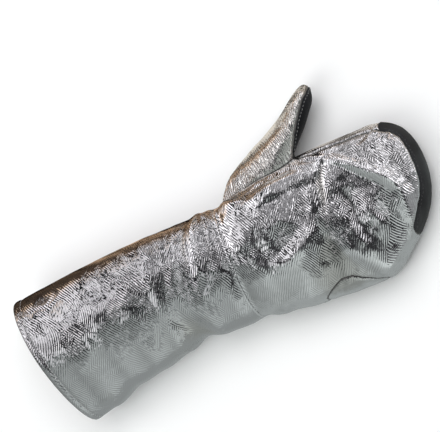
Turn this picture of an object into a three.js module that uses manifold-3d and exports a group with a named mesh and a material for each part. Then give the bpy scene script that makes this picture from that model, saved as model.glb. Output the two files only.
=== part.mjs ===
// An aluminized heat mitt for the right hand, lying on its palm. A wide gauntlet cuff
// laps over a boxed hand: aluminized back, a side strip that is aluminized cloth along
// both sides and black leather round the fingertips, and a black leather palm in one
// piece with the front of the thumb. The thumb's back is aluminized, and thin welts
// run in the seams round the fingertips and round the thumb.
//
// Millimetres. X runs from the cuff to the fingertips, Y towards the thumb and Z up
// from the surface that the mitt lies on. Tables are measured from the wrist seam.
import * as THREE from "three";
import { mergeVertices } from "three/addons/utils/BufferGeometryUtils.js";
import Module from "manifold-3d";

// Driving dimensions
const WALL = 2; // cloth and leather, with their backing
const SEAM_GAP = 0.3; // between neighbouring panels
const LAP_START = -8; // the hand panels begin this far inside the cuff
const CUFF_END = 6; // the cuff's edge on the hand side of the wrist
const RIM_X = -198; // middle of the cuff's open end
const RIM_SLANT = 0.246; // the open end is cut this much longer towards the thumb
const SLANT_FADES_AT = -80; // the sections stand square from here on
const HEM_LENGTH = 13;
const HEM_STEP = 0.5; // the turned hem stands this proud
const TUCK = 2.7; // the hand's form is this much smaller inside the cuff
const SPINE_END = 128; // past here the hand's sections fan out to the fingertips
const WELT_RADIUS = 0.8;
const WELT_GAP = 0.5; // between a welt and the panels' sewn edges

// The outer form in sections square to X: the two edges in plan, the height of the
// widest line and the height of the crown.
const SECTIONS = [
  { x: -232, little: -85, thumb: 48, wide: 39, crown: 78 },
  { x: -198, little: -83.5, thumb: 49, wide: 38, crown: 76 },
  { x: -170, little: -80, thumb: 50.5, wide: 37, crown: 75 },
  { x: -134, little: -70, thumb: 52, wide: 35, crown: 73 },
  { x: -105, little: -66.5, thumb: 52.5, wide: 33, crown: 71 },
  { x: -72, little: -61, thumb: 52, wide: 32, crown: 68 },
  { x: -53, little: -54.5, thumb: 51, wide: 30, crown: 66 },
  { x: -33, little: -59.5, thumb: 50, wide: 29, crown: 63 },
  { x: -8, little: -60.5, thumb: 50.5, wide: 27, crown: 62 },
  { x: 8, little: -61, thumb: 51, wide: 26, crown: 61 },
  { x: 28, little: -64.5, thumb: 53, wide: 24, crown: 60 },
  { x: 62, little: -69, thumb: 57, wide: 22, crown: 58 },
  { x: 96, little: -72.5, thumb: 60, wide: 21, crown: 55 },
  { x: 118, little: -73, thumb: 60, wide: 20, crown: 52 },
  { x: 128, little: -72.5, thumb: 59, wide: 20, crown: 51 },
];
const BODY_LOW_ROUND = 3.2; // superellipse exponent of the sections' lower half
const BODY_HIGH_ROUND = 2.3; // and of their upper half
const PRESSED = 1.08; // the underside is drawn this much deeper, then pressed flat

// The outline round the fingertips, from the index side to the little finger's.
const FINGERTIPS = [
  [128, 59], [148, 58], [164, 57.5], [176, 54.5], [186, 46], [192, 33], [194.5, 16],
  [193, -2], [187.5, -19], [178, -34.5], [164, -48.5], [150, -60], [138, -69], [128, -72.5],
];
const TIP_CROWN = 45; // crown height where the outline's end wall begins
const TIP_WIDE = 18;
const TIP_FALL = 45; // the heights ease to these this far past the spine's end

// Heights of the leather's upper edge, and of the lowest place that the back panel
// reaches, at the little finger's side and at the thumb's.
const LOW_SEAM = [
  { x: -40, little: 7, thumb: 7 },
  { x: 5, little: 7, thumb: 8 },
  { x: 14, little: 7, thumb: 25 },
  { x: 45, little: 7.5, thumb: 29 },
  { x: 76, little: 8, thumb: 33 },
  { x: 86, little: 8, thumb: 18 },
  { x: 95, little: 8, thumb: 10 },
  { x: 108, little: 8, thumb: 9.5 },
  { x: 136, little: 8, thumb: 22 },
  { x: 168, little: 8, thumb: 25 },
  { x: 190, little: 8, thumb: 9 },
  { x: 240, little: 8, thumb: 8 },
];
const BACK_LOW = [
  { x: -40, little: 13, thumb: 10 },
  { x: 5, little: 13, thumb: 10 },
  { x: 14, little: 13, thumb: 26 },
  { x: 80, little: 14, thumb: 34 },
  { x: 95, little: 14, thumb: 36 },
  { x: 240, little: 14, thumb: 30 },
];

// The back panel's sewn edge in plan, from the wrist on the thumb's side round the
// fingertips to the S-shaped seam on the little finger's side.
const BACK_EDGE = [
  [-60, 75], [84, 75], [90, 60], [97, 55], [115, 54], [136, 52], [155, 51], [169, 48],
  [179, 43], [185.5, 35], [188.5, 21], [188.5, 5], [186.5, -9], [181.5, -21], [173.5, -32],
  [163, -44], [150, -57], [138, -67], [127, -70.5], [117, -70], [108, -66], [100, -61.5],
  [92, -59], [84, -61], [75, -65], [66, -70], [57, -78], [-60, -90],
];
const BAND_FROM = { thumb: 172, little: 164 }; // where the leather band starts and ends

// The thumb's two seam edges from its root inside the hand to its tip, and how far
// the cloth and the leather bulge from between them. It turns about its length, so
// that its leather faces the fingers.
const THUMB = [
  { outer: [2, 30, 24], inner: [74, 16, 28], back: 9, front: 9 },
  { outer: [8.5, 50.5, 25], inner: [82, 36, 32], back: 13, front: 12 },
  { outer: [22.5, 69, 22.5], inner: [88.5, 56, 36], back: 14, front: 13 },
  { outer: [43, 81.5, 16.5], inner: [95, 67, 40.5], back: 13, front: 13 },
  { outer: [64, 90.5, 12], inner: [102, 77, 43.5], back: 12, front: 12.5 },
  { outer: [82, 98.5, 8], inner: [109, 87, 44], back: 10.5, front: 12 },
  { outer: [96.5, 107.5, 7.5], inner: [116, 96.5, 43], back: 9, front: 11.5 },
  { outer: [108, 112, 9], inner: [121.5, 103.5, 41], back: 8.5, front: 10.5 },
  { outer: [115, 114.5, 12.5], inner: [125, 108, 37], back: 7.5, front: 8 },
  { outer: [119.5, 115, 17.5], inner: [126, 111.5, 31.5], back: 5.5, front: 5 },
];
const THUMB_ROUND = 1.9; // superellipse exponent of its sections
const THUMB_FRAMES = 13; // sections that it is drawn with
const THUMB_NOSE = 3; // the tip goes this far past the last row

// Main folds of the upper side in plan: a path, half its width and its height, which
// is negative in a valley. They fade out towards their ends.
const FOLDS = [
  { path: [[18, 40], [26, 12], [20, -22], [24, -52]], half: 12, height: -3.5 },
  { path: [[96, 42], [89, 20], [93, -6], [80, -36]], half: 13, height: -4.5 },
  { path: [[100, 34], [128, 22], [152, 2], [166, -28]], half: 10, height: 4.5 },
  { path: [[142, 38], [152, 26], [162, 6]], half: 9, height: -4 },
  { path: [[38, 18], [60, 4], [76, -22]], half: 15, height: 3.5 },
  { path: [[100, -58], [120, -52], [136, -60]], half: 11, height: 3 },
  { path: [[-16, 44], [-24, 20], [-22, -8]], half: 8, height: 3.5 },
  { path: [[-34, 42], [-38, 18], [-32, -4]], half: 8, height: -3 },
  { path: [[-46, -60], [-62, -34], [-74, -6]], half: 14, height: -4 },
  { path: [[-108, 20], [-132, -8], [-150, -40]], half: 22, height: 2.5 },
];

const wasm = await Module();
wasm.setup();

// A value of a table at x, eased between its rows.
function at(table, column, x) {
  const next = table.findIndex((row) => row.x >= x);
  if (next <= 0) return table[next === 0 ? 0 : table.length - 1][column];
  const [a, b] = [table[next - 1], table[next]];
  const share = (x - a.x) / (b.x - a.x);
  return a[column] + (b[column] - a[column]) * share * share * (3 - 2 * share);
}

// A smooth line through points, as a curve.
function line(points) {
  const places = points.map((p) => new THREE.Vector3(p[0], p[1], p[2] ?? 0));
  return new THREE.CatmullRomCurve3(places, false, "centripetal");
}

const foldLines = FOLDS.map((fold) => ({ ...fold, places: line(fold.path).getPoints(14) }));

// How far the folds lift or sink the upper side at a place in plan.
function foldHeight(x, y) {
  let lift = 0;
  for (const fold of foldLines) {
    const last = fold.places.length - 1;
    let near = Infinity;
    let along = 0;
    fold.places.forEach((p, i) => {
      const away = Math.hypot(p.x - x, p.y - y);
      if (away < near) [near, along] = [away, i / last];
    });
    const across = Math.max(0, 1 - (near / fold.half) ** 2);
    lift += fold.height * across * across * Math.sin(Math.PI * (0.12 + 0.76 * along));
  }
  return lift;
}

// A closed solid from vertex positions and triangles; what coincides is merged.
function solid(positions, triangles) {
  const geometry = new THREE.BufferGeometry()
    .setAttribute("position", new THREE.Float32BufferAttribute(positions.flat(), 3))
    .setIndex(triangles.flat());
  return solidOf(geometry);
}

// The same, with the triangles turned round where they would face inwards.
function facingOut(positions, triangles) {
  const made = solid(positions, triangles);
  return made.volume() > 0 ? made : solid(positions, triangles.map((t) => [...t].reverse()));
}

function solidOf(geometry) {
  const bare = geometry.clone();
  bare.deleteAttribute("normal");
  bare.deleteAttribute("uv");
  const merged = mergeVertices(bare, 1e-3);
  const kept = [];
  const index = merged.index.array;
  for (let i = 0; i < index.length; i += 3) {
    const [a, b, c] = [index[i], index[i + 1], index[i + 2]];
    if (a !== b && b !== c && c !== a) kept.push(a, b, c);
  }
  const vertProperties = new Float32Array(merged.attributes.position.array);
  const triVerts = new Uint32Array(kept);
  return new wasm.Manifold(new wasm.Mesh({ numProp: 3, vertProperties, triVerts }));
}

// The solid moved outwards along its own normals, or inwards by a negative distance.
function grown(made, distance) {
  const mesh = made.getMesh();
  const count = mesh.vertProperties.length / 3;
  const places = [];
  for (let i = 0; i < count; i += 1) {
    places.push(new THREE.Vector3().fromArray(mesh.vertProperties, 3 * i));
  }
  const normals = places.map(() => new THREE.Vector3());
  for (let i = 0; i < mesh.triVerts.length; i += 3) {
    const corner = [0, 1, 2].map((k) => mesh.triVerts[i + k]);
    const [a, b, c] = corner.map((v) => places[v]);
    const face = b.clone().sub(a).cross(c.clone().sub(a)).normalize();
    corner.forEach((v, k) => {
      const one = places[corner[(k + 1) % 3]].clone().sub(places[v]);
      const two = places[corner[(k + 2) % 3]].clone().sub(places[v]);
      normals[v].addScaledVector(face, one.angleTo(two));
    });
  }
  const positions = places.map((p, i) =>
    p.addScaledVector(normals[i].normalize(), distance).toArray(),
  );
  return solid(positions, Array.from(mesh.triVerts));
}

// A solid through closed rings of equally many points, with a fan over each end.
function loft(rings) {
  const count = rings[0].length;
  const positions = rings.flat();
  const triangles = [];
  for (let i = 0; i + 1 < rings.length; i += 1) {
    for (let j = 0; j < count; j += 1) {
      const [a, b] = [i * count + j, i * count + ((j + 1) % count)];
      triangles.push([a, b, b + count], [a, b + count, a + count]);
    }
  }
  [0, rings.length - 1].forEach((i) => {
    const middle = [0, 1, 2].map((k) => rings[i].reduce((sum, p) => sum + p[k], 0) / count);
    positions.push(middle);
    const hub = positions.length - 1;
    for (let j = 0; j < count; j += 1) {
      const [a, b] = [i * count + j, i * count + ((j + 1) % count)];
      triangles.push(i === 0 ? [hub, b, a] : [hub, a, b]);
    }
  });
  return facingOut(positions, triangles);
}

// One point of a superellipse section: share across and share up, from an angle
// that is 0 at the widest line and a right angle at the crown.
function round(angle, exponent) {
  const power = 2 / exponent;
  return [Math.cos(angle) ** power, Math.sin(angle) ** power];
}

// Angles from the middle of the underside, past the widest line, to the crown.
const STEPS = [-90, -62, -42, -26, -12, 0, 9, 19, 31, 45, 60, 75, 90];

// A point of the body: from the section's middle towards its edge in plan. What
// would hang below the given height is pressed flat there.
function bodyPoint(edge, middle, wide, crown, degrees, lift = 0) {
  const angle = (Math.abs(degrees) * Math.PI) / 180;
  const [across, up] = round(angle, degrees < 0 ? BODY_LOW_ROUND : BODY_HIGH_ROUND);
  const x = middle[0] + (edge[0] - middle[0]) * across;
  const y = middle[1] + (edge[1] - middle[1]) * across;
  const low = Math.max(lift, wide - wide * PRESSED * up);
  const high = wide + (crown - wide) * up + foldHeight(x, y) * up * up;
  return [x, y, degrees < 0 ? low : high];
}

// The middle of the body in plan.
function spine(x) {
  return (at(SECTIONS, "little", x) + at(SECTIONS, "thumb", x)) / 2;
}

// One whole section of the cuff, starting and ending under its middle.
function cuffRing(x, slant) {
  const middle = [x, spine(x)];
  const [wide, crown] = [at(SECTIONS, "wide", x), at(SECTIONS, "crown", x)];
  const side = (edge) => STEPS.map((d) => bodyPoint([x, edge], middle, wide, crown, d));
  const thumbSide = side(at(SECTIONS, "thumb", x));
  const ring = thumbSide.concat(side(at(SECTIONS, "little", x)).reverse().slice(1, -1));
  return ring.map(([px, y, z]) => [px - slant * (y - middle[1]), y, z]);
}

// The hand as a closed solid. It also reaches back into the cuff, a little smaller.
function handBody() {
  const stations = [-26, -16, -5, 8, 16, 24, 35, 48, 61, 74, 86, 97, 108, 118, SPINE_END];
  const middle = [SPINE_END, spine(SPINE_END)];
  const column = (side) => (x) => {
    const tuck = TUCK * (1 - THREE.MathUtils.smoothstep(x, 8, 24));
    const edge = at(SECTIONS, side, x) + (side === "thumb" ? -tuck : tuck);
    const [wide, crown] = [at(SECTIONS, "wide", x), at(SECTIONS, "crown", x) - tuck];
    return STEPS.map((d) => bodyPoint([x, edge], [x, spine(x)], wide, crown, d, 0.9 * tuck));
  };
  // Round the fingertips the crown falls from the spine's end to the end wall.
  const fan = (tip) => {
    const far = Math.min(1, (tip.x - SPINE_END) / TIP_FALL);
    return STEPS.map((d) => {
      const across = round((Math.abs(d) * Math.PI) / 180, BODY_HIGH_ROUND)[0];
      const share = far * across * across;
      const wide = THREE.MathUtils.lerp(at(SECTIONS, "wide", SPINE_END), TIP_WIDE, share);
      const crown = THREE.MathUtils.lerp(at(SECTIONS, "crown", SPINE_END), TIP_CROWN, share);
      return bodyPoint([tip.x, tip.y], middle, wide, crown, d);
    });
  };
  const tips = line(FINGERTIPS).getSpacedPoints(20).slice(1, -1);
  const back = [...stations].reverse();
  const grid = [...stations.map(column("thumb")), ...tips.map(fan), ...back.map(column("little"))];
  const positions = grid.flat();
  const triangles = [];
  const high = STEPS.length;
  for (let i = 0; i + 1 < grid.length; i += 1) {
    for (let j = 0; j + 1 < high; j += 1) {
      const a = i * high + j;
      triangles.push([a, a + high, a + high + 1], [a, a + high + 1, a + 1]);
    }
  }
  positions.push([stations[0], spine(stations[0]), at(SECTIONS, "wide", stations[0])]);
  const hub = positions.length - 1;
  const last = (grid.length - 1) * high;
  for (let j = 0; j + 1 < high; j += 1) {
    triangles.push([hub, j, j + 1], [hub, last + j + 1, last + j]);
  }
  return facingOut(positions, triangles);
}

// The cuff's outer form, running on past both of its ends.
function cuffBody() {
  const stations = [-226, -206, -186, -164, -142, -120, -100, -84, -72, -62, -53, -43, -34];
  stations.push(-26, -16, -5, 8, 20);
  return loft(
    stations.map((x) => {
      const fade = THREE.MathUtils.clamp((x - SLANT_FADES_AT) / (RIM_X - SLANT_FADES_AT), 0, 1);
      return cuffRing(x, RIM_SLANT * fade);
    }),
  );
}

// The thumb's frames along its length: middle, across and outwards from the leather.
function thumbFrames() {
  const [outer, inner] = [line(THUMB.map((r) => r.outer)), line(THUMB.map((r) => r.inner))];
  const bulges = line(THUMB.map((r, i) => [i, r.back, r.front]));
  const shares = Array.from({ length: THUMB_FRAMES }, (_, i) => i / (THUMB_FRAMES - 1));
  const edges = shares.map((t) => [outer.getPoint(t), inner.getPoint(t)]);
  const middles = edges.map(([a, b]) => a.clone().add(b).multiplyScalar(0.5));
  return edges.map(([a, b], i) => {
    const before = middles[Math.max(0, i - 1)];
    const after = middles[Math.min(middles.length - 1, i + 1)];
    const along = after.clone().sub(before).normalize();
    const across = a.clone().sub(b);
    const width = across.length() / 2;
    across.normalize();
    const outwards = along.clone().cross(across).normalize();
    if (outwards.z < 0) outwards.negate();
    const { y: back, z: front } = bulges.getPoint(shares[i]);
    return { middle: middles[i], across, outwards, along, width, back, front };
  });
}

const frames = thumbFrames();

// The thumb as a closed solid, with its root inside the hand.
function thumbBody() {
  const points = 18;
  const ringOf = ({ middle, across, outwards, width, back, front }, size) =>
    Array.from({ length: points }, (_, j) => {
      const angle = (2 * Math.PI * j) / points;
      const [u, v] = [Math.cos(angle), Math.sin(angle)];
      const a = Math.sign(u) * Math.abs(u) ** (2 / THUMB_ROUND) * width * size;
      const b = Math.sign(v) * Math.abs(v) ** (2 / THUMB_ROUND) * (v > 0 ? back : front) * size;
      return middle.clone().addScaledVector(across, a).addScaledVector(outwards, b).toArray();
    });
  const rings = frames.map((frame) => ringOf(frame, 1));
  const end = frames.at(-1);
  const nose = { ...end, middle: end.middle.clone().addScaledVector(end.along, THUMB_NOSE) };
  rings.push(ringOf(nose, 0.5));
  return loft(rings);
}

// All space on one side of the thumb's seam surface: 1 is the back, -1 the front.
function thumbSide(way, gap) {
  const [reach, deep] = [40, 60];
  const rings = frames.map(({ middle, across, outwards, along, width }, i) => {
    const start = middle.clone();
    if (i === 0) start.addScaledVector(along, -30);
    if (i === frames.length - 1) start.addScaledVector(along, 30);
    const place = (aside, depth) =>
      start.clone().addScaledVector(across, aside).addScaledVector(outwards, way * depth);
    const far = width + reach;
    const seam = [-far, -width, 0, width, far].map((aside) => place(aside, gap));
    return [...seam, place(far, deep), place(-far, deep)].map((p) => p.toArray());
  });
  return loft(rings);
}

// A box from its lowest to its highest corner, turned about Z.
function block(low, high, turn = 0) {
  const size = high.map((value, i) => value - low[i]);
  const shape = new THREE.BoxGeometry(...size);
  shape.translate(...low.map((value, i) => value + size[i] / 2));
  shape.rotateZ(turn);
  return solidOf(shape);
}

// All space above or below a seam that runs along both sides of the hand.
function besideSeam(seam, above, gap) {
  const stations = [-40, -4, 5, 9, 14, 30, 45, 62, 76, 81, 86, 95, 108, 122, 136, 150, 168];
  stations.push(179, 190, 240);
  const [reach, end] = [150, above ? 150 : -60];
  return loft(
    stations.map((x) => {
      const [little, thumb] = [at(seam, "little", x), at(seam, "thumb", x)];
      const [from, to] = [at(SECTIONS, "little", x), at(SECTIONS, "thumb", x)];
      const height = (y) => {
        const share = THREE.MathUtils.clamp((y - from) / (to - from), 0, 1);
        return little + (thumb - little) * share + (above ? gap : -gap);
      };
      const edge = [-reach, from, (from + to) / 2, to, reach].map((y) => [x, y, height(y)]);
      return [...edge, [x, reach, end], [x, -reach, end]];
    }),
  );
}

// All space over the back panel.
function backSpace(gap) {
  const outline = line(BACK_EDGE).getPoints(54).map((p) => new THREE.Vector2(p.x, p.y));
  const prism = new THREE.ExtrudeGeometry(new THREE.Shape(outline), {
    depth: 160,
    bevelEnabled: false,
  });
  return grown(solidOf(prism), gap).intersect(besideSeam(BACK_LOW, true, -gap));
}

// All space beyond the line where the leather band meets the side strips.
function beyondBand(gap) {
  const { thumb, little } = BAND_FROM;
  const slope = Math.atan2(little - thumb, 120);
  const shifted = block([0, -200, -50], [200, 200, 200], slope);
  return shifted.translate([(thumb + little) / 2 + gap, 0, 0]);
}

// The hand, the thumb and the hollow that they share
const handOuter = handBody();
const handInner = grown(handOuter, -WALL);
const thumbOuter = thumbBody();
const thumbInner = grown(thumbOuter, -WALL);
const afterLap = block([LAP_START, -200, -50], [300, 200, 200]);
const handWall = handOuter.subtract(handInner).intersect(afterLap).subtract(thumbInner);
const thumbWall = thumbOuter.subtract(thumbInner);
const clearOfThumb = grown(thumbOuter, SEAM_GAP);
const half = SEAM_GAP / 2;

const strip = handWall
  .intersect(besideSeam(LOW_SEAM, true, half))
  .subtract(backSpace(SEAM_GAP))
  .subtract(clearOfThumb);
const thumbHalf = block([85, -8, -50], [400, 300, 200]);
const littleHalf = block([-300, -300, -50], [400, -8, 200]);

const panels = {
  hand_back: () => handWall.intersect(backSpace(0)).subtract(clearOfThumb),
  index_gusset: () => strip.subtract(beyondBand(-half)).intersect(thumbHalf),
  ulnar_gusset: () => strip.subtract(beyondBand(-half)).intersect(littleHalf),
  fingertip_band: () => strip.intersect(beyondBand(half)),
  palm: () => {
    const flat = handWall.intersect(besideSeam(LOW_SEAM, false, half));
    const thumbFront = thumbWall.intersect(thumbSide(-1, half)).subtract(grown(handOuter, -1));
    return flat.add(thumbFront);
  },
  thumb_back: () =>
    thumbWall.intersect(thumbSide(1, half)).subtract(grown(handOuter, SEAM_GAP)),
};

// The gauntlet cuff: a tube with a turned hem at its slanted open end.
function cuff() {
  const outer = cuffBody();
  const inner = grown(outer, -WALL);
  const turn = Math.atan(RIM_SLANT);
  const from = (x) =>
    block([0, -300, -50], [400, 300, 200], turn).translate([x, spine(RIM_X), 0]);
  const hem = grown(outer, HEM_STEP).subtract(from(RIM_X + HEM_LENGTH));
  const end = block([-400, -300, -50], [CUFF_END, 300, 200]);
  const floor = block([-400, -300, 0], [400, 300, 200]);
  const tube = outer.add(hem).intersect(from(RIM_X)).subtract(inner);
  const aroundLap = block([LAP_START - SEAM_GAP, -200, -50], [300, 200, 200]);
  const handRoom = grown(handOuter, SEAM_GAP).intersect(aroundLap);
  return tube.subtract(handRoom).intersect(end).intersect(floor);
}

// A thin round welt along a line of points.
function welt(points, steps) {
  const shape = new THREE.Shape();
  shape.absarc(0, 0, WELT_RADIUS, 0, 2 * Math.PI);
  const path = new THREE.CatmullRomCurve3(points, false, "centripetal");
  return solidOf(new THREE.ExtrudeGeometry(shape, { curveSegments: 2, steps, extrudePath: path }));
}

// The welt between the palm and the leather band, from side to side.
function palmWelt() {
  const edge = line(FINGERTIPS).getSpacedPoints(26).filter((p) => p.x > 150);
  const middle = [SPINE_END, spine(SPINE_END)];
  const points = edge.map((place) => {
    // The steepness at which the section passes the seam's height.
    let [low, high] = [-62, 0];
    for (let i = 0; i < 20; i += 1) {
      const angle = (low + high) / 2;
      const z = bodyPoint([place.x, place.y], middle, TIP_WIDE, TIP_CROWN, angle)[2];
      if (z < at(LOW_SEAM, "little", place.x)) low = angle;
      else high = angle;
    }
    const surface = bodyPoint([place.x, place.y], middle, TIP_WIDE, TIP_CROWN, low);
    const out = new THREE.Vector3(place.x - middle[0], place.y - middle[1], 0).normalize();
    return new THREE.Vector3(...surface).addScaledVector(out, WELT_RADIUS + WELT_GAP);
  });
  return welt(points, 30).subtract(grown(handOuter, SEAM_GAP));
}

// The welt round the thumb's edge, from the wrist side over the tip to the crotch.
function thumbWelt() {
  const away = WELT_RADIUS + WELT_GAP;
  const side = (way, first) =>
    frames.slice(first).map(({ middle, across, width }) =>
      middle.clone().addScaledVector(across, way * (width + away)),
    );
  const end = frames.at(-1);
  const nose = end.middle.clone().addScaledVector(end.along, THUMB_NOSE + away);
  return welt([...side(1, 3), nose, ...side(-1, 4).reverse()], 36);
}

const FINISHES = {
  foil: { color: 0xc9ccd0, roughness: 0.28, metalness: 1 },
  leather: { color: 0x17181a, roughness: 0.7, metalness: 0 },
  welt: { color: 0x9a9c9c, roughness: 0.5, metalness: 0.3 },
};

function geometryOf(made) {
  const mesh = made.getMesh();
  const geometry = new THREE.BufferGeometry();
  const positions = new THREE.BufferAttribute(mesh.vertProperties, 3);
  geometry.setAttribute("position", positions);
  geometry.setIndex(new THREE.BufferAttribute(mesh.triVerts, 1));
  geometry.computeVertexNormals();
  return geometry;
}

// The largest of the separate bodies that a cut leaves.
function mainBody(made) {
  return made.decompose().reduce((a, b) => (b.volume() > a.volume() ? b : a));
}

const mitt = new THREE.Group();
mitt.name = "heat_mitt";

function add(name, geometry, finish) {
  const mesh = new THREE.Mesh(geometry, new THREE.MeshStandardMaterial(FINISHES[finish]));
  mesh.name = name;
  mitt.add(mesh);
}

for (const [name, make] of Object.entries(panels)) {
  const black = name === "palm" || name === "fingertip_band";
  add(name, geometryOf(mainBody(make())), black ? "leather" : "foil");
}
add("cuff", geometryOf(mainBody(cuff())), "foil");
add("palm_welt", geometryOf(mainBody(palmWelt())), "welt");
const clearOfPanels = thumbWelt().subtract(grown(handOuter, SEAM_GAP)).subtract(clearOfThumb);
add("thumb_welt", geometryOf(mainBody(clearOfPanels)), "welt");

// The origin is under the middle of the whole mitt.
const box = new THREE.Box3().setFromObject(mitt);
const centre = box.getCenter(new THREE.Vector3());
mitt.position.set(-centre.x, -centre.y, 0);

export default mitt;
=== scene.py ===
import math

import bpy
import numpy as np
from mathutils import Matrix, Vector, bvhtree, kdtree, noise


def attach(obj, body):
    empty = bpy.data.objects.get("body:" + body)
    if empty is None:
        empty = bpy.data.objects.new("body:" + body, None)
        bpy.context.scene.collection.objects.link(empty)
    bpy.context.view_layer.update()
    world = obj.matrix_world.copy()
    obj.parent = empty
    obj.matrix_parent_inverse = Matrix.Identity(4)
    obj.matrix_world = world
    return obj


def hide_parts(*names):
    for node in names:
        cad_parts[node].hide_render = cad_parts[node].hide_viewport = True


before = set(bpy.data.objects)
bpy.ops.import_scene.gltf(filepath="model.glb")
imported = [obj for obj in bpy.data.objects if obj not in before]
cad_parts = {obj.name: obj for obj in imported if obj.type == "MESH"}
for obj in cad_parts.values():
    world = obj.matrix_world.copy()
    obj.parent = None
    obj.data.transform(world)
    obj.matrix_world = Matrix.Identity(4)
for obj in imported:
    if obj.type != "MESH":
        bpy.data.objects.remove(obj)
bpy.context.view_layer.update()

# Camera, table and light
# The mitt lies on a plain pale table and is seen steeply from above. Soft lamps hang
# over the thumb's side, and the little finger's side faces an even grey wall.
WRIST_SEAM = np.array([9.96, -17.17, 0.0])  # its middle in the frame, in millimetres
MM = 0.001


def placed(points):
    """Metres in the frame, from millimetres measured from the wrist seam."""
    return (np.asarray(points, float) + WRIST_SEAM) * MM


AIM = Vector(placed([0, -5, 28]))
CAMERA_DISTANCE, LENS = 1.3, 117.0
ROLL = math.radians(25)
AIM_LEFT, AIM_UP = 0.0144, 0.0436  # how far the picture's middle is from the aim
towards = Vector((0.30, -0.14, 0.944)).normalized()
level = Vector((0.954, 0.044, -0.297))
level = (level - towards * level.dot(towards)).normalized()
rise = towards.cross(level)
right = level * math.cos(ROLL) - rise * math.sin(ROLL)
upwards = level * math.sin(ROLL) + rise * math.cos(ROLL)
station = AIM + towards * CAMERA_DISTANCE
centre = AIM - right * AIM_LEFT + upwards * AIM_UP
backwards = (station - centre).normalized()
right = (right - backwards * right.dot(backwards)).normalized()
upwards = backwards.cross(right)
camera_data = bpy.data.cameras.new("camera")
camera_data.lens = LENS
camera_data.clip_start, camera_data.clip_end = 0.05, 20
camera = bpy.data.objects.new("camera", camera_data)
bpy.context.scene.collection.objects.link(camera)
turned = Matrix((right, upwards, backwards)).transposed().to_4x4()
camera.matrix_world = Matrix.Translation(station) @ turned
bpy.context.scene.camera = camera
bpy.context.scene.view_settings.view_transform = "Standard"

# The property that node() sets on each kind of node; on the others it is the operation.
SETTINGS = {
    "MapRange": "interpolation_type", "Mix": "data_type",
    "Group": "node_tree", "Attribute": "attribute_name",
}


def fill(tree, sockets, **values):
    """Gives sockets, by name or number, their constants or the sockets to link from."""
    for key, value in values.items():
        socket = sockets[int(key[1:]) if key[1:].isdigit() else key.replace("_", " ")]
        if isinstance(value, bpy.types.NodeSocket):
            tree.links.new(value, socket)
        else:
            socket.default_value = value


def node(tree, kind, setting=None, **inputs):
    """Adds a node and gives its outputs."""
    made = tree.nodes.new("ShaderNode" + kind)
    if setting is not None:
        setattr(made, SETTINGS.get(kind, "operation"), setting)
    fill(tree, made.inputs, **inputs)
    return made.outputs


def worked(tree, operation, *values, kind="Math"):
    """What one step of arithmetic makes of some values."""
    return node(tree, kind, operation, **{f"_{i}": value for i, value in enumerate(values)})[0]


def moved(tree, operation, *vectors):
    """What one step of arithmetic makes of some vectors."""
    return worked(tree, operation, *vectors, kind="VectorMath")


def scaled(tree, vector, scale):
    """A vector made longer by a number."""
    return node(tree, "VectorMath", "SCALE", _0=vector, Scale=scale)[0]


def ramp(tree, value, start, end, low=0.0, high=1.0):
    """Low before start, high after end and smooth between them."""
    limits = {"From_Min": start, "From_Max": end, "To_Min": low, "To_Max": high}
    return node(tree, "MapRange", "SMOOTHSTEP", Value=value, **limits)[0]


def spread(tree, value, low, high):
    """A value from 0 to 1, put evenly between low and high."""
    return node(tree, "MapRange", Value=value, To_Min=low, To_Max=high)[0]


def blended(tree, share, first, second):
    """A colour between two others; a constant one has three numbers."""
    first, second = ((*c, 1) if isinstance(c, tuple) else c for c in (first, second))
    return node(tree, "Mix", "RGBA", _0=share, _6=first, _7=second)[2]


def mottled(tree, place, scale, detail=2.0, **more):
    """Soft noise over a surface, from 0 to 1."""
    return node(tree, "TexNoise", Vector=place, Scale=scale, Detail=detail, **more)["Fac"]


world = bpy.data.worlds.new("studio")
bpy.context.scene.world = world
world.use_nodes = True
sky = world.node_tree
sky.nodes.clear()
direction = node(sky, "TexCoord")["Generated"]
ahead, aside, above = node(sky, "SeparateXYZ", Vector=direction)
# Round the mitt's length: 0 overhead, positive towards the thumb's side.
around = worked(sky, "ARCTAN2", aside, above)
# The lamps reach further round towards the fingertips.
further = worked(sky, "MAXIMUM", worked(sky, "SUBTRACT", ahead, 0.16), 0.0)
lamp_side = ramp(sky, worked(sky, "MULTIPLY_ADD", further, 3.0, around), -0.03, 0.04)
clouds = mottled(sky, node(sky, "CombineXYZ", X=ahead, Y=around)[0], 3.4)
clouds = worked(sky, "SUBTRACT", clouds, 0.5)
wall = worked(sky, "MULTIPLY_ADD", ahead, 0.38, 0.53)
wall = worked(sky, "MULTIPLY_ADD", clouds, 0.12, wall)
wall = node(sky, "Clamp", Value=wall, Min=0.28, Max=0.66)[0]
wall = scaled(sky, (0.95, 1.02, 1.0), wall)
# Rows of lamps with dark gaps between them, so that each rib of the cloth has a bright
# flank and a dark one. The rows are closer together past the fingertips.
LAMP_ROWS = 0.38
rows = worked(sky, "ADD", ahead, 0.31)
rows = worked(sky, "MULTIPLY_ADD", clouds, 0.46, rows)
closer = worked(sky, "MAXIMUM", worked(sky, "SUBTRACT", ahead, 0.25), 0.0)
rows = worked(sky, "MULTIPLY_ADD", closer, 2.0, rows)
rows = worked(sky, "PINGPONG", rows, LAMP_ROWS)
for where, start, end, low, high in (
    (around, 0.06, 0.3, -0.09, 0.115),  # weaker right overhead
    (around, 1.3, 1.75, 0.0, -0.12),  # and low down
    (ahead, -0.6, -0.4, -0.09, 0.0),  # and behind the cuff
    (ahead, -0.15, 0.08, 0.0, -0.185),  # and over the knuckles
    (ahead, 0.2, 0.42, 0.0, 0.12),  # stronger again over the fingertips
):
    rows = worked(sky, "ADD", rows, ramp(sky, where, start, end, low, high))
lamps = ramp(sky, rows, 0.245, 0.305)
low_down = ramp(sky, around, 1.15, 1.6)
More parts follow.
